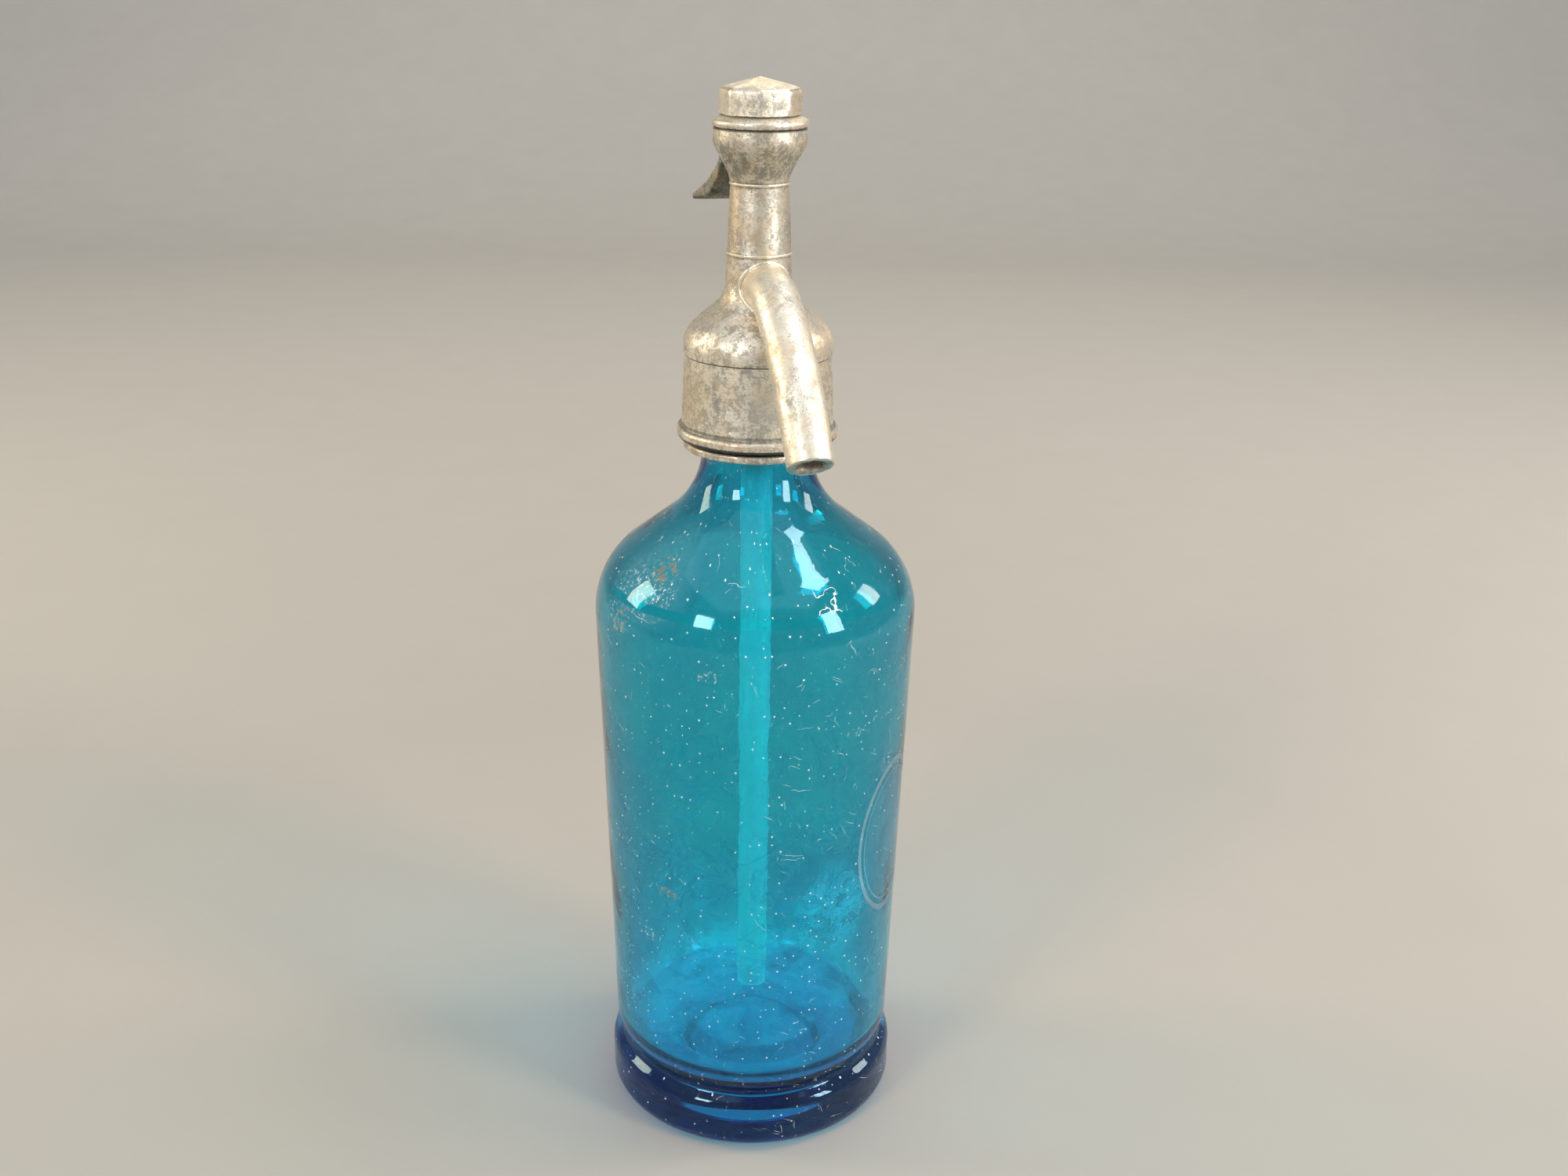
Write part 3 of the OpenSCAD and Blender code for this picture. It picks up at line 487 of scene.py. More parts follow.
def make_cap():
    """Octagon with worn edges over a round bead, and a low faceted roof."""
    around = 288
    z0 = BULB_TOP
    bead_r, step_z, edge_z, tip_z = 13.5, z0 + 3.2, z0 + 10.72, z0 + 13.35
    bead = rounded([
        (7.5, z0, 0), (12.9, z0, 0.6), (bead_r, z0 + 0.9, 0.9), (bead_r, z0 + 1.9, 0.9), (11.0, step_z, 0.5),
        (10.4, step_z, 0)], 12)
    side = [
        (11.55, 3.6), (11.5, 4.2), (11.5, 5.5), (11.5, 7), (11.5, 8.4), (11.48, 9.3), (11.38, 9.8),
        (11.1, 10.3), (10.6, 10.62)]
    # radius, height, and share of octagon from 0 (round) to 1
    rows = [
        (r, z, 0.0 if r > 11.9 else min(1.0, max(0.0, (12.2 - r) / 0.8)))
        for r, z in dense(bead, 0.5)[:-2]]
    rows += [(r, z0 + h, 1.0) for r, h in side]
    for f in (0.92, 0.84, 0.7, 0.55, 0.4, 0.28, 0.18, 0.1, 0.05):
        rows.append((10.3 * f, edge_z + 2.6 * (1 - f) ** 0.92, 1.0 if f > 0.3 else f / 0.3))
    verts, rings = [], []
    for r, z, share in rows:
        rings.append(len(verts))
        for k in range(around):
            t = k * 2 * math.pi / around
            eight = octagon(t, r * 1.018, 0.018 * r) if share else r
            q = (1 - share) * r + share * eight
            p = Vector((q * math.cos(t), q * math.sin(t), z))
            wear = 0.07 * lump(p, 5.0, (2, 4, 6)) + 0.035 * lump(p, 1.5)
            grow = 0 if z < z0 + 0.3 else wear
            rise = 0.5 * wear if share and z > z0 + 10 else 0
            verts.append((p.x + grow * math.cos(t), p.y + grow * math.sin(t), z + rise))
    faces = quads(rings, around)
    faces += [(rings[-1] + k, rings[-1] + (k + 1) % around, len(verts)) for k in range(around)]
    verts.append((0, 0, tip_z))
    return mesh_object("tin_cap", verts, faces, 50)


cap = make_cap()
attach(cap, "siphon")
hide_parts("cap")


# ---- lever ----

def make_lever():
    """The curved thumb lever, lofted from crowned sections along its length."""
    sides = 56
    tip_y, tip_z, hub = 48.3, PIN_Z - 20.6, 2.4
    tongue_r, tongue_half, start = 1.85, 2.4, -1.9
    tongue = [(-tongue_r * math.cos(t), tongue_r * math.sin(t)) for t in np.linspace(0, 2.35, 8)]
    top = rounded([(y, PIN_Z + z, 0) for y, z in tongue] + [
        (6.5, PIN_Z + 1.55, 2), (PIN_Y - 0.8, PIN_Z + hub - 0.1, 1), (PIN_Y + 4.3, PIN_Z + hub - 0.4, 3),
        (PIN_Y + 10.2, PIN_Z - 6.2, 14), (31.3, tip_z + 7.4, 30), (tip_y, tip_z, 0)], 3)
    low = rounded([(y, PIN_Z - z, 0) for y, z in tongue] + [
        (6.5, PIN_Z - 1.55, 2), (PIN_Y - 0.8, PIN_Z - hub + 0.1, 1), (PIN_Y + 2.5, PIN_Z - 2.9, 1.5),
        (PIN_Y + 12, PIN_Z - 13.1, 12), (31.3, tip_z + 0.8, 16), (47.5, tip_z - 1.6, 0.3),
        (tip_y, tip_z, 0)], 3)
    wide = rounded([
        (start, 2.0, 0), (-1.0, tongue_half, 0.8), (6.3, tongue_half, 0.4), (7.0, 3.7, 0.4), (14.4, 3.7, 1.5),
        (18, 6.9, 3), (25, 7.1, 20), (42, 8.4, 0), (46.5, 8.85, 3), (48.1, 7.2, 1.2), (tip_y, 6.4, 0)], 3)
    spans = ((start, 7, 20), (7, 19, 34), (19, 45, 44), (45, 48.25, 16))
    verts, rings = [], []
    for y in np.unique(np.concatenate([np.linspace(*span) for span in spans])):
        z_top, z_low, half = (float(np.interp(y, line[:, 0], line[:, 1])) for line in (top, low, wide))
        thick = max(z_top - z_low, 0.3)
        mid = (z_top + z_low) / 2
        plate = min(1.0, max(0.0, (y - 16) / 8))
        power = 3.2 + 3.0 * min(1.0, half / 6)
        rings.append(len(verts))
        for k in range(sides):
            t = k * 2 * math.pi / sides
            c, s = math.cos(t), math.sin(t)
            x = half * math.copysign(abs(c) ** (2 / power), c)
            z = mid + math.copysign(abs(s) ** (2 / power), s) * thick / 2
            if s > 0:
                z -= plate * 0.35 * (x / half) ** 2
            p = (x, y, z)
            uneven = plate * (0.06 * lump(p, 7.0, (5, 5, 1)) + 0.03 * lump(p, 2.0))
            verts.append((x * (1 + uneven / 6), y, z + uneven))
    faces = quads(rings, sides, True)
    faces.append(tuple(rings[0] + k for k in range(sides)))
    faces.append(tuple(rings[-1] + k for k in reversed(range(sides))))
    piece = mesh_object("tin_lever", verts, faces, 50)
    face_outwards(piece)
    return piece


lever = make_lever()
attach(lever, "lever")
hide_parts("lever")


# ---- valve spring ----

spring_low, spring_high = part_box("spring")


def make_coil():
    """The valve spring's round wire, its ends just clear of the crosshead and the washer."""
    low, high = spring_low / MM, spring_high / MM
    wire, turns, per_turn, sides, gap = 0.49, 4, 48, 12, 0.04
    r = high.x - 0.5
    bottom, top = low.z + gap + wire, high.z - gap - wire
    count = turns * per_turn
    climb = math.atan((top - bottom) / turns / (2 * math.pi * r))
    verts = []
    for i in range(count + 1):
        a = i * 2 * math.pi / per_turn
        z = bottom + (top - bottom) * i / count
        for k in range(sides):
            b = k * 2 * math.pi / sides
            out, up = r + wire * math.cos(b), wire * math.sin(b)
            lean = up * math.sin(climb)
            verts.append((
                out * math.cos(a) + lean * math.sin(a), out * math.sin(a) - lean * math.cos(a),
                z + up * math.cos(climb)))
    rings = [i * sides for i in range(count + 1)]
    return mesh_object("steel_coil", verts, quads(rings, sides) + end_faces(rings[-1], sides))


coil = make_coil()
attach(coil, "piston")
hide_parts("spring")
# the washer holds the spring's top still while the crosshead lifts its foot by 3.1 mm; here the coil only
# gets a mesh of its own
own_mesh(coil)


# ---- clamp ring ----

def make_clamp():
    """The ring under the skirt, with the lip that the collar bears on."""
    z = SKIRT_Z - 3.2
    bore_r, rim_r, thread_r, seat_r, seat_z, top_z = 17.3, 21.7, 19.6, 18.5, z + 8.8, z + 12.8
    line = rounded([
        (bore_r, seat_z, 0), (bore_r, z, 0.3), (rim_r, z, 0.7), (rim_r, z + 2.4, 0.9),
        (thread_r, z + 2.5, 0.2), (thread_r, top_z, 0.3), (seat_r, top_z, 0.2), (seat_r, seat_z, 0),
        (bore_r, seat_z, 0)], 8)
    line = dense(line, 0.8)[:-1]

    def cast(verts, rings):
        """Lumps and dents on the rim that shows."""
        out = from_axis(verts)
        skin = (verts[:, 2] < z + 2.3) & (np.hypot(verts[:, 0], verts[:, 1]) > 19)
        uneven = 0.13 * bumps(verts, 6, 8) + 0.06 * bumps(verts, 2, 9)
        verts[skin] += out[skin] * uneven[skin, None]
        return verts

    return turned("tin_clamp_ring", line, 192, cast, 40, True)


clamp = make_clamp()
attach(clamp, "siphon")
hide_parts("clamp_ring")


# ---- materials ----

class Paint:
    """A material's nodes, added one by one."""

    def __init__(self, name):
        self.material = bpy.data.materials.new(name)
        self.material.use_nodes = True
        self.tree = self.material.node_tree
        self.tree.nodes.clear()
        self.out = self.tree.nodes.new("ShaderNodeOutputMaterial")
        where = self("TexCoord")
        self.place, self.facing = where.outputs["Object"], where.outputs["Normal"]

    def __call__(self, kind, inputs=None, **props):
        n = self.tree.nodes.new("ShaderNode" + kind)
        for key, value in props.items():
            setattr(n, key, value)
        for key, value in (inputs or {}).items():
            self.set(n.inputs[key], value)
        return n

    def set(self, socket, value):
        if isinstance(value, bpy.types.NodeSocket):
            self.tree.links.new(value, socket)
        elif isinstance(value, (tuple, list)) and len(value) == 3 and socket.type == "RGBA":
            socket.default_value = (*value, 1)
        else:
            socket.default_value = value

    def noise(self, size, detail=4, rough=0.55, twist=0.0, shift=None):
        """Noise from 0 to 1 whose blots are about size mm wide."""
        place = self.place
        if shift:
            place = self("Mapping", {"Vector": place, "Location": shift}).outputs[0]
        return self("TexNoise", {
            "Vector": place, "Scale": 1 / (size * MM), "Detail": detail, "Roughness": rough,
            "Distortion": twist}).outputs[0]

    def cells(self, place, scale, **props):
        return self("TexVoronoi", {"Vector": place, "Scale": scale, "Randomness": 1.0}, **props)

    def ramp(self, value, low, high, to=(0.0, 1.0), smooth=True):
        """to[0] at low, to[1] at high, and between them a smooth or straight rise."""
        n = self("MapRange", {
            "Value": value, "From Min": low, "From Max": high, "To Min": to[0], "To Max": to[1]})
        n.interpolation_type = "SMOOTHSTEP" if smooth else "LINEAR"
        n.clamp = True
        return n.outputs[0]

    def mix(self, share, a, b):
        n = self("Mix", data_type="RGBA", blend_type="MIX")
        self.set(n.inputs[0], share)
        self.set(n.inputs[6], a)
        self.set(n.inputs[7], b)
        return n.outputs[2]

    def math(self, how, a, b=None, c=None, clamp=False):
        n = self("Math", operation=how)
        n.use_clamp = clamp
        for i, v in enumerate((a, b, c)):
            if v is not None:
                self.set(n.inputs[i], v)
        return n.outputs[0]

    def times(self, a, b, clamp=False):
        return self.math("MULTIPLY", a, b, clamp=clamp)

    def plus(self, a, b, clamp=False):
        return self.math("ADD", a, b, clamp=clamp)

    def minus(self, a, b, clamp=False):
        return self.math("SUBTRACT", a, b, clamp=clamp)

    def off(self, value, middle):
        """How far a value is from the middle, either way."""
        return self.math("ABSOLUTE", self.minus(value, middle))

    def most(self, *values):
        out = values[0]
        for v in values[1:]:
            out = self.math("MAXIMUM", out, v)
        return out

    def parts(self, vector):
        return self("SeparateXYZ", {0: vector}).outputs

    def vector(self, how, a, b):
        return self("VectorMath", {0: a, 1: b}, operation=how).outputs[0]

    def length(self, vector):
        return self("VectorMath", {0: vector}, operation="LENGTH").outputs["Value"]

    def near(self, centre, radii, soft=0.5):
        """1 near a point, falling to 0 at the given radii in mm along X, Y and Z."""
        d = self.vector("SUBTRACT", self.place, tuple(c * MM for c in centre))
        d = self.vector("MULTIPLY", d, tuple(1 / (r * MM) for r in radii))
        return self.ramp(self.length(d), 1.0, 1.0 - soft)

    def bump(self, height, distance, strength=1.0, normal=None):
        n = self("Bump", {"Height": height, "Distance": distance * MM, "Strength": strength})
        if normal is not None:
            self.set(n.inputs["Normal"], normal)
        return n.outputs[0]

    def surface(self, shader):
        self.set(self.out.inputs["Surface"], shader.outputs[0])

    def lit_through(self, shader, colour):
        """The shader, but for shadows a clear tint, so that lamps shine through the piece."""
        shadow = self("LightPath").outputs["Is Shadow Ray"]
        clear = self("BsdfTransparent", {"Color": colour})
        self.surface(self("MixShader", {0: shadow, 1: shader.outputs[0], 2: clear.outputs[0]}))

    def give(self, *pieces):
        for piece in pieces:
            piece.data.materials.clear()
            piece.data.materials.append(self.material)


WARM, DIRT, WORN, SPECKLE = (0.66, 0.50, 0.30), (0.05, 0.05, 0.04), (0.86, 0.80, 0.68), (0.88, 0.87, 0.82)
# The colour of painted shade on faces that look down.
UNDERSIDE_SHADE = (0.055, 0.06, 0.042)
# The first is the near-black of the painted shade in gaps and grooves; the second is gold.
SHADE_AND_GRIME, GOLD = (0.025, 0.028, 0.02), (0.95, 0.86, 0.62)


def tin(
        name, under=0.0, pale=(0.90, 0.84, 0.72), mid=(0.46, 0.43, 0.365), dark=(0.17, 0.165, 0.14),
        dull=0.0, seed=0.0, bands=(), shade=()):
    """Cast tin alloy that has aged: mottled greys, a warm film, fine pits and bright worn places.

    bands are (height in mm, half its width, colour, strength) of rings that differ all round; the near-black
    rings are painted shade in gaps and grooves. shade is (centre in mm, radii, colour, strength) of soft
    patches, some of them painted light and shade.
    under is how dark painted shade makes faces that look down.
    """
    p = Paint(name)
    shift = (seed, seed * 0.7, seed * 1.3)
    large = p.noise(12, 3, 0.6, shift=shift)
    middle = p.noise(3.2, 5, 0.65, shift=shift)
    fine = p.noise(0.8, 4, 0.75, shift=shift)
    dots = p.noise(0.33, 2, 0.6, shift=shift)
    mottle = p.plus(p.times(middle, 0.66), p.times(fine, 0.34))
    colour = p.mix(p.ramp(mottle, 0.42, 0.58), mid, pale)
    film = p.ramp(p.noise(8, 5, 0.7, shift=(seed + 0.3, 0.1, 0.2)), 0.42, 0.64, (0.0, 0.42))
    colour = p.mix(film, colour, WARM)
    stain = p.times(p.ramp(large, 0.47, 0.68), p.ramp(mottle, 0.6, 0.42), clamp=True)
    colour = p.mix(p.times(stain, 0.6), colour, dark)
    pale_dots = p.times(p.ramp(dots, 0.6, 0.72), p.ramp(large, 0.4, 0.55))
    colour = p.mix(p.times(pale_dots, 0.6), colour, SPECKLE)
    pits = p.cells(p.place, 1 / (0.9 * MM)).outputs["Distance"]
    pit = p.times(p.ramp(pits, 0.28, 0.12), p.ramp(p.noise(4, 3), 0.48, 0.58), clamp=True)
    colour = p.mix(p.times(pit, 0.65), colour, dark)
    edge = p("NewGeometry").outputs["Pointiness"]
    worn = p.ramp(p.plus(edge, p.times(p.minus(middle, 0.5), 0.02)), 0.515, 0.545)
    hollow = p.ramp(edge, 0.49, 0.455)
    colour = p.mix(p.times(hollow, 0.6), colour, DIRT)
    colour = p.mix(p.times(worn, 0.7), colour, WORN)
    # Soft patches of colour; some are painted light and shade, put where lamps and shadow fall on the piece.
    for centre, radii, tone, strength in shade:
        patch = p.times(p.near(centre, radii, 0.8), p.ramp(mottle, 0.32, 0.6, (strength, strength * 0.45)))
        colour = p.mix(patch, colour, tone)
    # Painted shade on faces that look down.
    if under:
        down = p.ramp(p.parts(p.facing)[2], 0.1, -0.5)
        colour = p.mix(p.times(down, p.ramp(mottle, 0.3, 0.65, (under, under * 0.7))), colour, UNDERSIDE_SHADE)
    high = p.times(p.parts(p.place)[2], 1 / MM)
    high = p.plus(high, p.times(p.minus(middle, 0.5), 0.5))
    shade_rings = 0.0
    # Rings all round; the near-black ones are painted shade in gaps and grooves, and they also dull the
    # metal.
    for z, half, tone, strength in bands:
        ring = p.times(p.ramp(p.off(high, z), half, half * 0.6), strength)
        colour = p.mix(ring, colour, tone)
        if tone == SHADE_AND_GRIME:
            shade_rings = p.math("MAXIMUM", ring, shade_rings)
    rough = p.plus(p.ramp(mottle, 0.35, 0.65, (0.6 + dull, 0.34 + dull)), p.times(film, 0.1))
    rough = p.minus(rough, p.times(worn, 0.14), clamp=True)
    # Dark tarnish, dirt in hollows and the rings of painted shade make the metal duller.
    rust_and_shade = p.most(stain, p.times(hollow, 0.8), shade_rings)
    metal = p.minus(1.0, p.times(rust_and_shade, 0.75), clamp=True)
    height = p.plus(p.times(middle, 0.5), p.times(fine, 0.4))
    height = p.minus(height, p.times(pit, 0.5))
    normal = p.bump(height, 0.15, 0.75)
    turn = tuple(math.radians(a) for a in (20, 35, 0))
    strokes = p("Mapping", {"Vector": p.place, "Scale": (1, 1, 14), "Rotation": turn}).outputs[0]
    lines = p("TexNoise", {"Vector": strokes, "Scale": 260.0, "Detail": 3.0, "Roughness": 0.6}).outputs[0]
    normal = p.bump(p.ramp(lines, 0.6, 0.7), 0.02, 0.6, normal)
    p.surface(p("BsdfPrincipled", {
        "Base Color": colour, "Metallic": metal, "Roughness": rough, "Normal": normal}))
    return p


# The near-black rings are painted shade in the gaps and grooves: at the skirt's foot, in the bell's groove,
# in the crease over the bead and at the cap's seam.
tin("tin", bands=(
    (SKIRT_Z + 0.1, 1.3, SHADE_AND_GRIME, 0.95), (BELL_Z - 0.35, 0.3, SHADE_AND_GRIME, 0.75), (SKIRT_Z + 4.1, 0.9, SHADE_AND_GRIME, 0.6),
    (LINES_Z[0], 0.4, GOLD, 0.55), (LINES_Z[1], 0.4, GOLD, 0.55), (BULB_TOP - 0.2, 0.35, SHADE_AND_GRIME, 0.8)), shade=(
    # Painted shade darkens the bulb, where there is dirt as well; the next two are painted warm light on the
    # column's left side and painted shade on its right side.
    ((0, 0, BULB_Z + 5.5), (22, 22, 11), (0.14, 0.14, 0.11), 0.85),
    ((-12, -2, COLUMN_Z + 18), (8, 11, 22), (0.50, 0.36, 0.20), 0.75),
    ((11, -2, COLUMN_Z + 18), (6.5, 11, 30), (0.34, 0.23, 0.15), 0.95),
    # These two patches are painted shade that dims the right front lamp's highlight on the column.
    ((6, -8, COLUMN_Z + 20), (5, 6, 20), (0.34, 0.33, 0.28), 0.85),
    ((2.4, -8.8, COLUMN_Z + 20), (4, 5, 20), (0.40, 0.39, 0.34), 0.5),
    # Painted warm light on the bell's right; the patches after it darken and tint the skirt and the bell.
    ((22, -10, SKIRT_Z + 33), (10, 16, 9), (0.98, 0.74, 0.56), 0.8),
    ((24, -10, SKIRT_Z + 14), (8, 16, 12), (0.50, 0.36, 0.26), 0.6),
    ((-24, -8, SKIRT_Z + 14), (9, 14, 13), (0.45, 0.36, 0.22), 0.7),
    ((-2, -22, SKIRT_Z + 14), (9, 9, 9), (0.42, 0.44, 0.42), 0.5),
    ((5, -22, SKIRT_Z + 26), (4, 8, 9), (0.20, 0.21, 0.14), 0.8))).give(head, clamp)
TIP_AT = (0, *spout_line()[-1][:2])
# The dark patch at the tip is painted shade in the mouth of the bore.
tin("tin_spout", pale=(0.95, 0.90, 0.79), mid=(0.74, 0.69, 0.59), seed=0.4, shade=(
    (TIP_AT, (7, 7, 7), (0.02, 0.018, 0.012), 1.4),)).give(spout)
tin("tin_solder", pale=(0.92, 0.87, 0.72), mid=(0.80, 0.74, 0.58), seed=0.6).give(solder)
# The near-black rings are painted shade in the cap's seams; the first patch is a painted golden reflection on
# the roof, the second painted shade on the cap's right side.
tin("tin_cap", pale=(0.92, 0.87, 0.76), mid=(0.64, 0.60, 0.52), seed=0.8, bands=(
    (BULB_TOP + 3.35, 0.3, SHADE_AND_GRIME, 0.25), (BULB_TOP + 0.1, 0.3, SHADE_AND_GRIME, 0.8)), shade=(
    ((0, 0, BULB_TOP + 13), (14, 14, 5), (0.86, 0.74, 0.55), 0.6),
    ((9, -8, BULB_TOP + 7), (8, 9, 6), (0.50, 0.40, 0.28), 0.6))).give(cap)
# The lever's colours are darker than the other tin's as painted shade, and its faces that look down get more
# painted shade.
tin("tin_lever", under=0.85, pale=(0.50, 0.47, 0.38), mid=(0.26, 0.25, 0.20), dark=(0.07, 0.075, 0.06),
    dull=0.05, seed=1.2).give(lever)


WALL_R = 46.0  # radius that turns an angle round the bottle into mm on its wall


def on_wall(turn, high):
    """A place on the bottle's wall, by its angle from the front in degrees and its height."""
    return math.radians(turn) * WALL_R, high, 0


class Glass(Paint):
    """Paint for the bottle: flat is (way round from the front, height) in mm, deep is Y in mm."""

    def __init__(self, name):
        super().__init__(name)
        x, y, z = self.parts(self.place)
        round_mm = self.times(self.math("ARCTAN2", x, self.times(y, -1.0)), WALL_R)
        self.high = self.times(z, 1 / MM)
        self.deep = self.times(y, 1 / MM)
        self.flat = self("CombineXYZ", {0: round_mm, 1: self.high}).outputs[0]
        radius = self.times(self.length(self("CombineXYZ", {0: x, 1: y}).outputs[0]), 1 / MM)
        # between the two sides of the wall, along the body and along the shoulder
        body = self.math("MULTIPLY_ADD", self.high, 0.0297, 41.0)
        shoulder = self.math("MULTIPLY_ADD", self.high, -1.31, 279.0)
        between = self.math("MAXIMUM", self.math("MINIMUM", body, shoulder), 13.0)
        self.outside = self.math("GREATER_THAN", radius, between)
        self.grain = self.noise(1.1, 5, 0.7)

    def scratches(self, place, turn, long, wide, keep, shift=0.0):
        """Straight scratches at one angle: stretched cells, of which a few are kept."""
        place = self("Mapping", {
            "Vector": place, "Rotation": (0, 0, math.radians(turn)),
            "Location": (shift, shift * 0.7, 0)}).outputs[0]
        place = self.vector("MULTIPLY", place, (1 / long, 1 / wide, 1))
        cell = self.cells(place, 1.0, voronoi_dimensions="2D")
        kept = self.math("LESS_THAN", self.parts(cell.outputs["Color"])[0], keep)
        return self.times(self.ramp(cell.outputs["Distance"], 0.16, 0.064), kept)

    def from_oval(self, turn, high, wide, tall):
        """Distance from an oval's middle, 1 at its rim."""
        d = self.vector("SUBTRACT", self.flat, on_wall(turn, high))
        return self.length(self.vector("MULTIPLY", d, (1 / wide, 1 / tall, 0)))

    def mark(self, turn, high, wide, tall, soft=0.6):
        """1 in the middle of an oval, 0 outside."""
        return self.ramp(self.from_oval(turn, high, wide, tall), 1.0, 1.0 - soft)

    def marks(self, *ovals):
        """Soft ovals (turn, height, width, height of the oval, strength)."""
        return self.most(*(self.times(self.mark(*oval[:4]), oval[4]) for oval in ovals))

    def wear(self):
        """What stands on the outside, from 0 to 1: scratches, specks, dust, scuffs and a hooked scratch."""
        drift = self.noise(9, 3, 0.6)
        sway = self("CombineXYZ", {0: self.times(drift, 9.0), 1: self.times(drift, -7.0)}).outputs[0]
        bent = self.vector("ADD", self.flat, sway)
        worn = self.ramp(self.noise(26, 3, 0.6), 0.38, 0.62)
        scratched = self.most(
            self.scratches(bent, 25, 13, 0.5, 0.022), self.scratches(bent, -40, 9, 0.5, 0.018, 31),
            self.times(self.scratches(bent, 70, 18, 0.55, 0.016, 57), 0.8),
            self.scratches(bent, 5, 26, 0.6, 0.01, 83),
            self.times(self.scratches(bent, -75, 6, 0.45, 0.02, 11), 0.7))
        scratched = self.times(scratched, self.ramp(worn, 0, 1, (0.25, 1.0)))
        crowd = self.cells(self.flat, 1 / 2.6, voronoi_dimensions="2D")
        pick, size, _ = self.parts(crowd.outputs["Color"])
        speck = self.math(
            "LESS_THAN", crowd.outputs["Distance"], self.times(self.math("POWER", size, 2.5), 0.12))
        speck = self.times(speck, self.math("LESS_THAN", pick, 0.55))
        dust = self.ramp(self.noise(0.45, 2, 0.6), 0.64, 0.74)
        dust = self.times(dust, self.ramp(worn, 0, 1, (0.04, 0.4)))
        scuffs = self.marks(
            (-60, 181, 13, 9, 0.9), (-72, 176, 9, 14, 0.7), (-61, 71, 9, 4, 0.8), (-30, 162, 5, 3, 0.9),
            (42, 127, 5, 7, 0.6), (24, 141, 5, 2.5, 0.8))
        scuffs = self.times(scuffs, self.ramp(self.grain, 0.53, 0.66))
        hook = self.ramp(self.off(self.noise(5, 2, 0.5), 0.5), 0.022, 0.006)
        hook = self.times(hook, self.mark(13, 181.5, 5, 6.5, 0.3))
        self.dents = self.most(scratched, speck)
        return self.most(
            self.times(scratched, 0.75), self.times(speck, 0.85), self.times(dust, 0.5),
            self.times(scuffs, 0.7), self.times(hook, 0.9))

    def etched_oval(self):
        """A blank etched oval with a second fine line, in the place of the ornament."""
        far = self.from_oval(50, 99, 17, 25)
        rim = self.ramp(self.off(far, 1.0), 0.045, 0.03)
        line = self.times(self.ramp(self.off(far, 0.88), 0.02, 0.01), 0.8)
        field = self.times(self.ramp(far, 0.87, 0.85), 0.25)
        return self.times(self.most(rim, line, field), self.ramp(self.grain, 0.25, 0.55, (0.65, 1.0)))

    def lime(self):
        """What the water left inside, from 0 to 1: a swirl on the wall, low streaks, lime on the floor."""
        swirl = self.noise(13, 6, 0.62, twist=1.6)
        curl = self.times(self.ramp(self.off(swirl, 0.5), 0.06, 0.0), 0.8)
        swirl = self.times(self.most(curl, self.ramp(swirl, 0.46, 0.62)), self.mark(19, 82, 22, 23, 0.7))
        low = self.ramp(self.off(self.noise(17, 5, 0.6, twist=1.0, shift=(0.5, 0, 0)), 0.5), 0.03, 0.0)
        low = self.times(low, self.ramp(self.high, 120, 60))
        settled = self.ramp(self.high, 44.0, 22.0, (0.0, 0.42))
        settled = self.times(settled, self.ramp(self.deep, -24, 26, (0.3, 1.0)))
        middle = self.times(self.near((0, 0, FLOOR_Z + 3), (34, 34, 12), 0.5), 0.2)
        settled = self.most(settled, self.ramp(self.high, 80, 30, (0.0, 0.1)), middle)
        settled = self.times(settled, self.ramp(self.noise(8, 5, 0.65), 0.3, 0.6, (0.55, 1.0)))
        return self.most(self.times(swirl, 0.62), self.times(low, 0.16), settled)


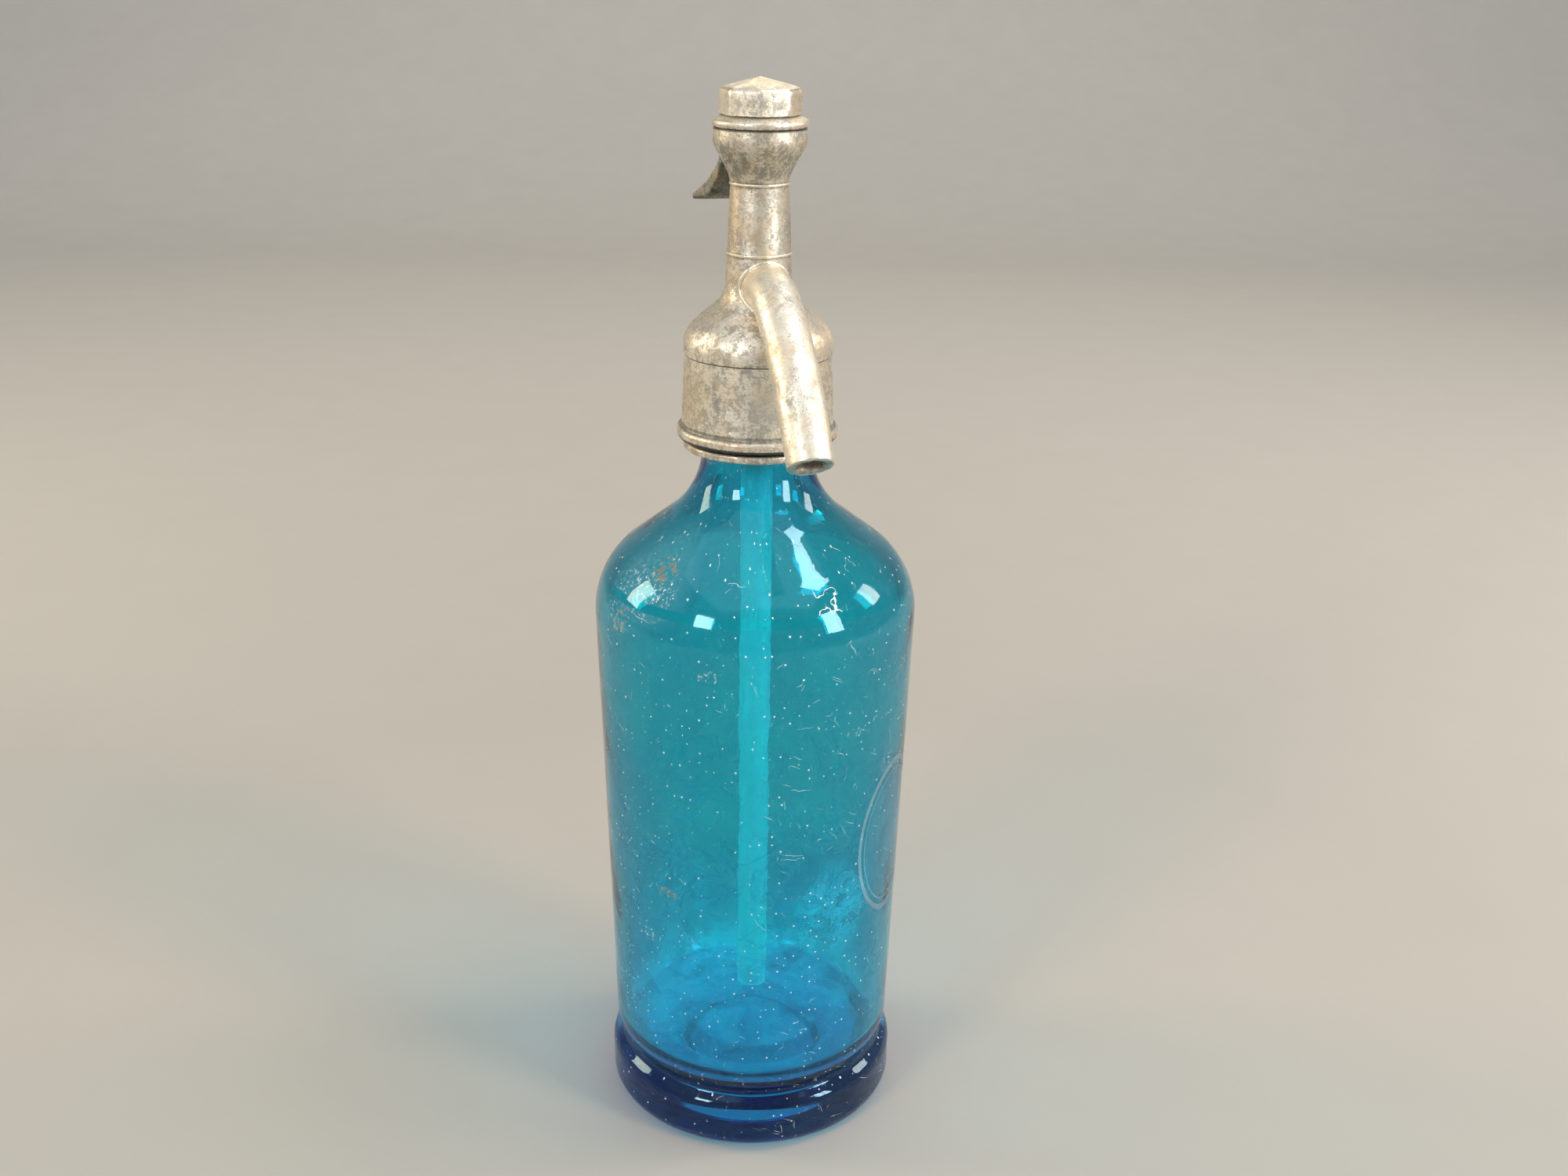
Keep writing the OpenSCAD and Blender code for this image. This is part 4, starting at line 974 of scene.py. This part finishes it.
def old_glass():
    """Thick blown glass, tinted all through, with what stands on it outside and inside."""
    p = Glass("glass")
    outside, inside = p.outside, p.minus(1.0, p.outside)
    worn = p.wear()
    etched = p.etched_oval()
    # A whitish patch on the left shoulder, partly scuffing and partly painted glare around the lamps'
    # highlights.
    haze_and_glare = p.times(p.mark(-62, 184, 22, 18), p.ramp(p.grain, 0.3, 0.6, (0.05, 0.11)))
    film = p.plus(p.ramp(p.noise(30, 5, 0.62), 0.35, 0.75, (0.002, 0.022)), haze_and_glare)
    outer = p.times(p.most(worn, p.times(etched, 0.2)), outside)
    spots = p.plus(outer, p.times(p.lime(), inside), clamp=True)
    spots = p.plus(spots, p.times(film, outside), clamp=True)
    brown = p.marks((-58, 187, 7, 4, 1.0), (-48, 88, 6, 2.6, 1.0), (-70, 172, 5, 9, 0.7))
    brown = p.times(brown, p.ramp(p.noise(2.2, 4, 0.7), 0.45, 0.6))
    brown = p.times(brown, outside)
    spots = p.most(spots, p.times(brown, 0.5))
    chalk = p.mix(p.ramp(spots, 0.05, 0.3), (0.35, 0.75, 0.85), (0.88, 0.94, 0.95))
    tone = p.mix(brown, chalk, (0.42, 0.30, 0.16))
    tone = p.mix(p.ramp(spots, 0.0, 0.02), (0.82, 0.98, 0.99), tone)
    rough = p.ramp(p.times(p.noise(16, 4, 0.6), p.noise(1.6, 4, 0.65)), 0.2, 0.42, (0.015, 0.1))
    rough = p.most(rough, p.times(p.times(etched, outside), 0.45))
    wavy = p.bump(p.noise(24, 2, 0.5), 0.8, 0.45)
    wavy = p.bump(p.noise(7, 2, 0.5), 0.09, 0.5, wavy)
    normal = p.bump(p.times(p.dents, -1.0), 0.05, 0.5, wavy)
    clear = p("BsdfPrincipled", {
        "Base Color": tone, "Roughness": rough, "IOR": 1.5, "Normal": normal,
        "Transmission Weight": p.minus(1.0, spots, clamp=True), "Specular Tint": (0.54, 0.86, 1.0)})
    p.lit_through(clear, (0.9, 0.96, 0.98))
    tint = p("VolumeAbsorption", {"Color": (0.02, 0.892, 0.948), "Density": 540.0})
    p.set(p.out.inputs["Volume"], tint.outputs[0])
    return p


old_glass().give(bottle)


def plain(name, colour, rough, metal=0.0, spread=0.25, size=3.0):
    """A small hidden fitting: colour that varies, with fine bumps."""
    p = Paint(name)
    blot = p.noise(size, 4, 0.6)
    tone = p.mix(p.ramp(blot, 0.35, 0.65), tuple(c * (1 - spread) for c in colour), colour)
    edge = p("NewGeometry").outputs["Pointiness"]
    tone = p.mix(p.ramp(edge, 0.48, 0.44, (0.0, 0.6)), tone, tuple(c * 0.2 for c in colour))
    shine = p.ramp(blot, 0.3, 0.7, (rough * 1.2, rough * 0.8))
    normal = p.bump(p.noise(0.5, 3), 0.03, 0.5)
    p.surface(p("BsdfPrincipled", {
        "Base Color": tone, "Metallic": metal, "Roughness": shine, "Normal": normal}))
    return p


tube = Paint("tube_glass")
tube.lit_through(tube("BsdfPrincipled", {
    "Base Color": (0.74, 0.88, 0.84), "Roughness": 0.3, "IOR": 1.45,
    "Transmission Weight": tube.ramp(tube.noise(30, 3), 0.3, 0.7, (0.7, 0.8))}), (0.8, 0.9, 0.92))
tube.give(nodes["dip_tube"])
plain("brass", (0.70, 0.53, 0.27), 0.35, 1.0).give(*(nodes[n] for n in (
    "tube_ferrule", "split_collar_left", "split_collar_right", "valve_seat", "valve_holder", "piston_rod",
    "stuffing_box", "gland_nut", "crosshead")))
plain("rubber", (0.035, 0.034, 0.033), 0.7).give(nodes["tube_washer"], nodes["valve_disc"])
plain("red_rubber", (0.22, 0.06, 0.04), 0.65).give(nodes["neck_gasket"])
plain("packing", (0.36, 0.29, 0.17), 0.8, spread=0.5, size=1.0).give(nodes["gland_packing"])
plain("steel", (0.52, 0.52, 0.53), 0.32, 1.0).give(coil, nodes["spring_washer"], nodes["lever_pin"])


# ---- floor and light ----

FLOOR_DROP = 0.2  # keeps the floor's face apart from the bottle's standing face


def make_floor():
    """A pale floor that curves up into a backdrop, far enough not to crowd any view. In metres."""
    half, front, deep, high, bend = 4.0, 6.0, 1.6, 3.5, 0.9
    arc = [(deep + bend * math.sin(t), bend * (1 - math.cos(t))) for t in np.linspace(0, math.pi / 2, 24)]
    line = [(-front, 0.0)] + arc + [(deep + bend, high)]
    verts = [(x, y, z) for x in (-half, half) for y, z in line]
    n = len(line)
    mesh = bpy.data.meshes.new("floor")
    mesh.from_pydata(verts, [], [(k, n + k, n + k + 1, k + 1) for k in range(n - 1)])
    mesh.shade_smooth()
    floor = bpy.data.objects.new("floor", mesh)
    floor.rotation_euler.z = math.radians(-SPOUT_RIGHT)
    floor.location.z = -FLOOR_DROP * MM
    bpy.context.scene.collection.objects.link(floor)
    return floor


floor = make_floor()
p = Paint("floor")
from_middle = p.length(p.place)
cloth = p.mix(p.ramp(from_middle, 0.3, 2.2, smooth=False), (0.42, 0.395, 0.355), (0.80, 0.77, 0.71))
cloth = p.mix(p.times(p.noise(40, 3), 0.12), cloth, (0.3, 0.28, 0.25))
# painted glow: the floor itself gives off light under the bottle, in place of the light that the bottle
# gathers under itself
painted_glow = p.ramp(from_middle, 0.0425, 0.037, (0.0, 0.8))
p.surface(p("BsdfPrincipled", {
    "Base Color": cloth, "Roughness": 0.9, "Emission Color": (0.8, 1.0, 0.72),
    "Emission Strength": painted_glow}))
p.give(floor)


def softbox(name, azimuth, elevation, far, wide, tall, power, colour=(1, 1, 1)):
    """A soft lamp at that many degrees to the right of the photograph's camera, in metres and watts."""
    lamp = bpy.data.lights.new(name, "AREA")
    lamp.shape, lamp.size, lamp.size_y = "RECTANGLE", wide, tall
    lamp.energy, lamp.color = power, colour
    o = bpy.data.objects.new(name, lamp)
    a, e = math.radians(azimuth - SPOUT_RIGHT), math.radians(elevation)
    out = Vector((math.sin(a) * math.cos(e), -math.cos(a) * math.cos(e), math.sin(e)))
    o.location = Vector((0, 0, 0.18)) + out * far
    o.rotation_mode = "QUATERNION"
    o.rotation_quaternion = (-out).to_track_quat("-Z", "Y")
    bpy.context.scene.collection.objects.link(o)


softbox("right_front", 58, 20, 1.3, 0.28, 0.56, 9.0, (1.0, 0.97, 0.92))
softbox("left_front", -38, 26, 1.4, 0.29, 0.36, 6.5, (1.0, 0.98, 0.94))
softbox("left_side", -100, 22, 1.4, 0.34, 0.6, 7.0, (1.0, 0.86, 0.62))
softbox("right_side", 101, 24, 1.4, 0.3, 0.44, 5.0, (1.0, 0.86, 0.74))
softbox("window", 88, 62, 1.5, 0.4, 0.3, 5.5, (0.96, 0.98, 1.0))
softbox("back", 172, 40, 1.6, 1.0, 0.4, 3.5, (1.0, 0.9, 0.74))
softbox("top", 10, 82, 1.5, 1.9, 1.9, 8.0)

world = bpy.data.worlds.new("world")
world.use_nodes = True
bpy.context.scene.world = world
back = world.node_tree.nodes["Background"]
back.inputs[0].default_value = (0.95, 0.97, 1.0, 1)
back.inputs[1].default_value = 0.33

bpy.context.scene.view_settings.view_transform = "Standard"
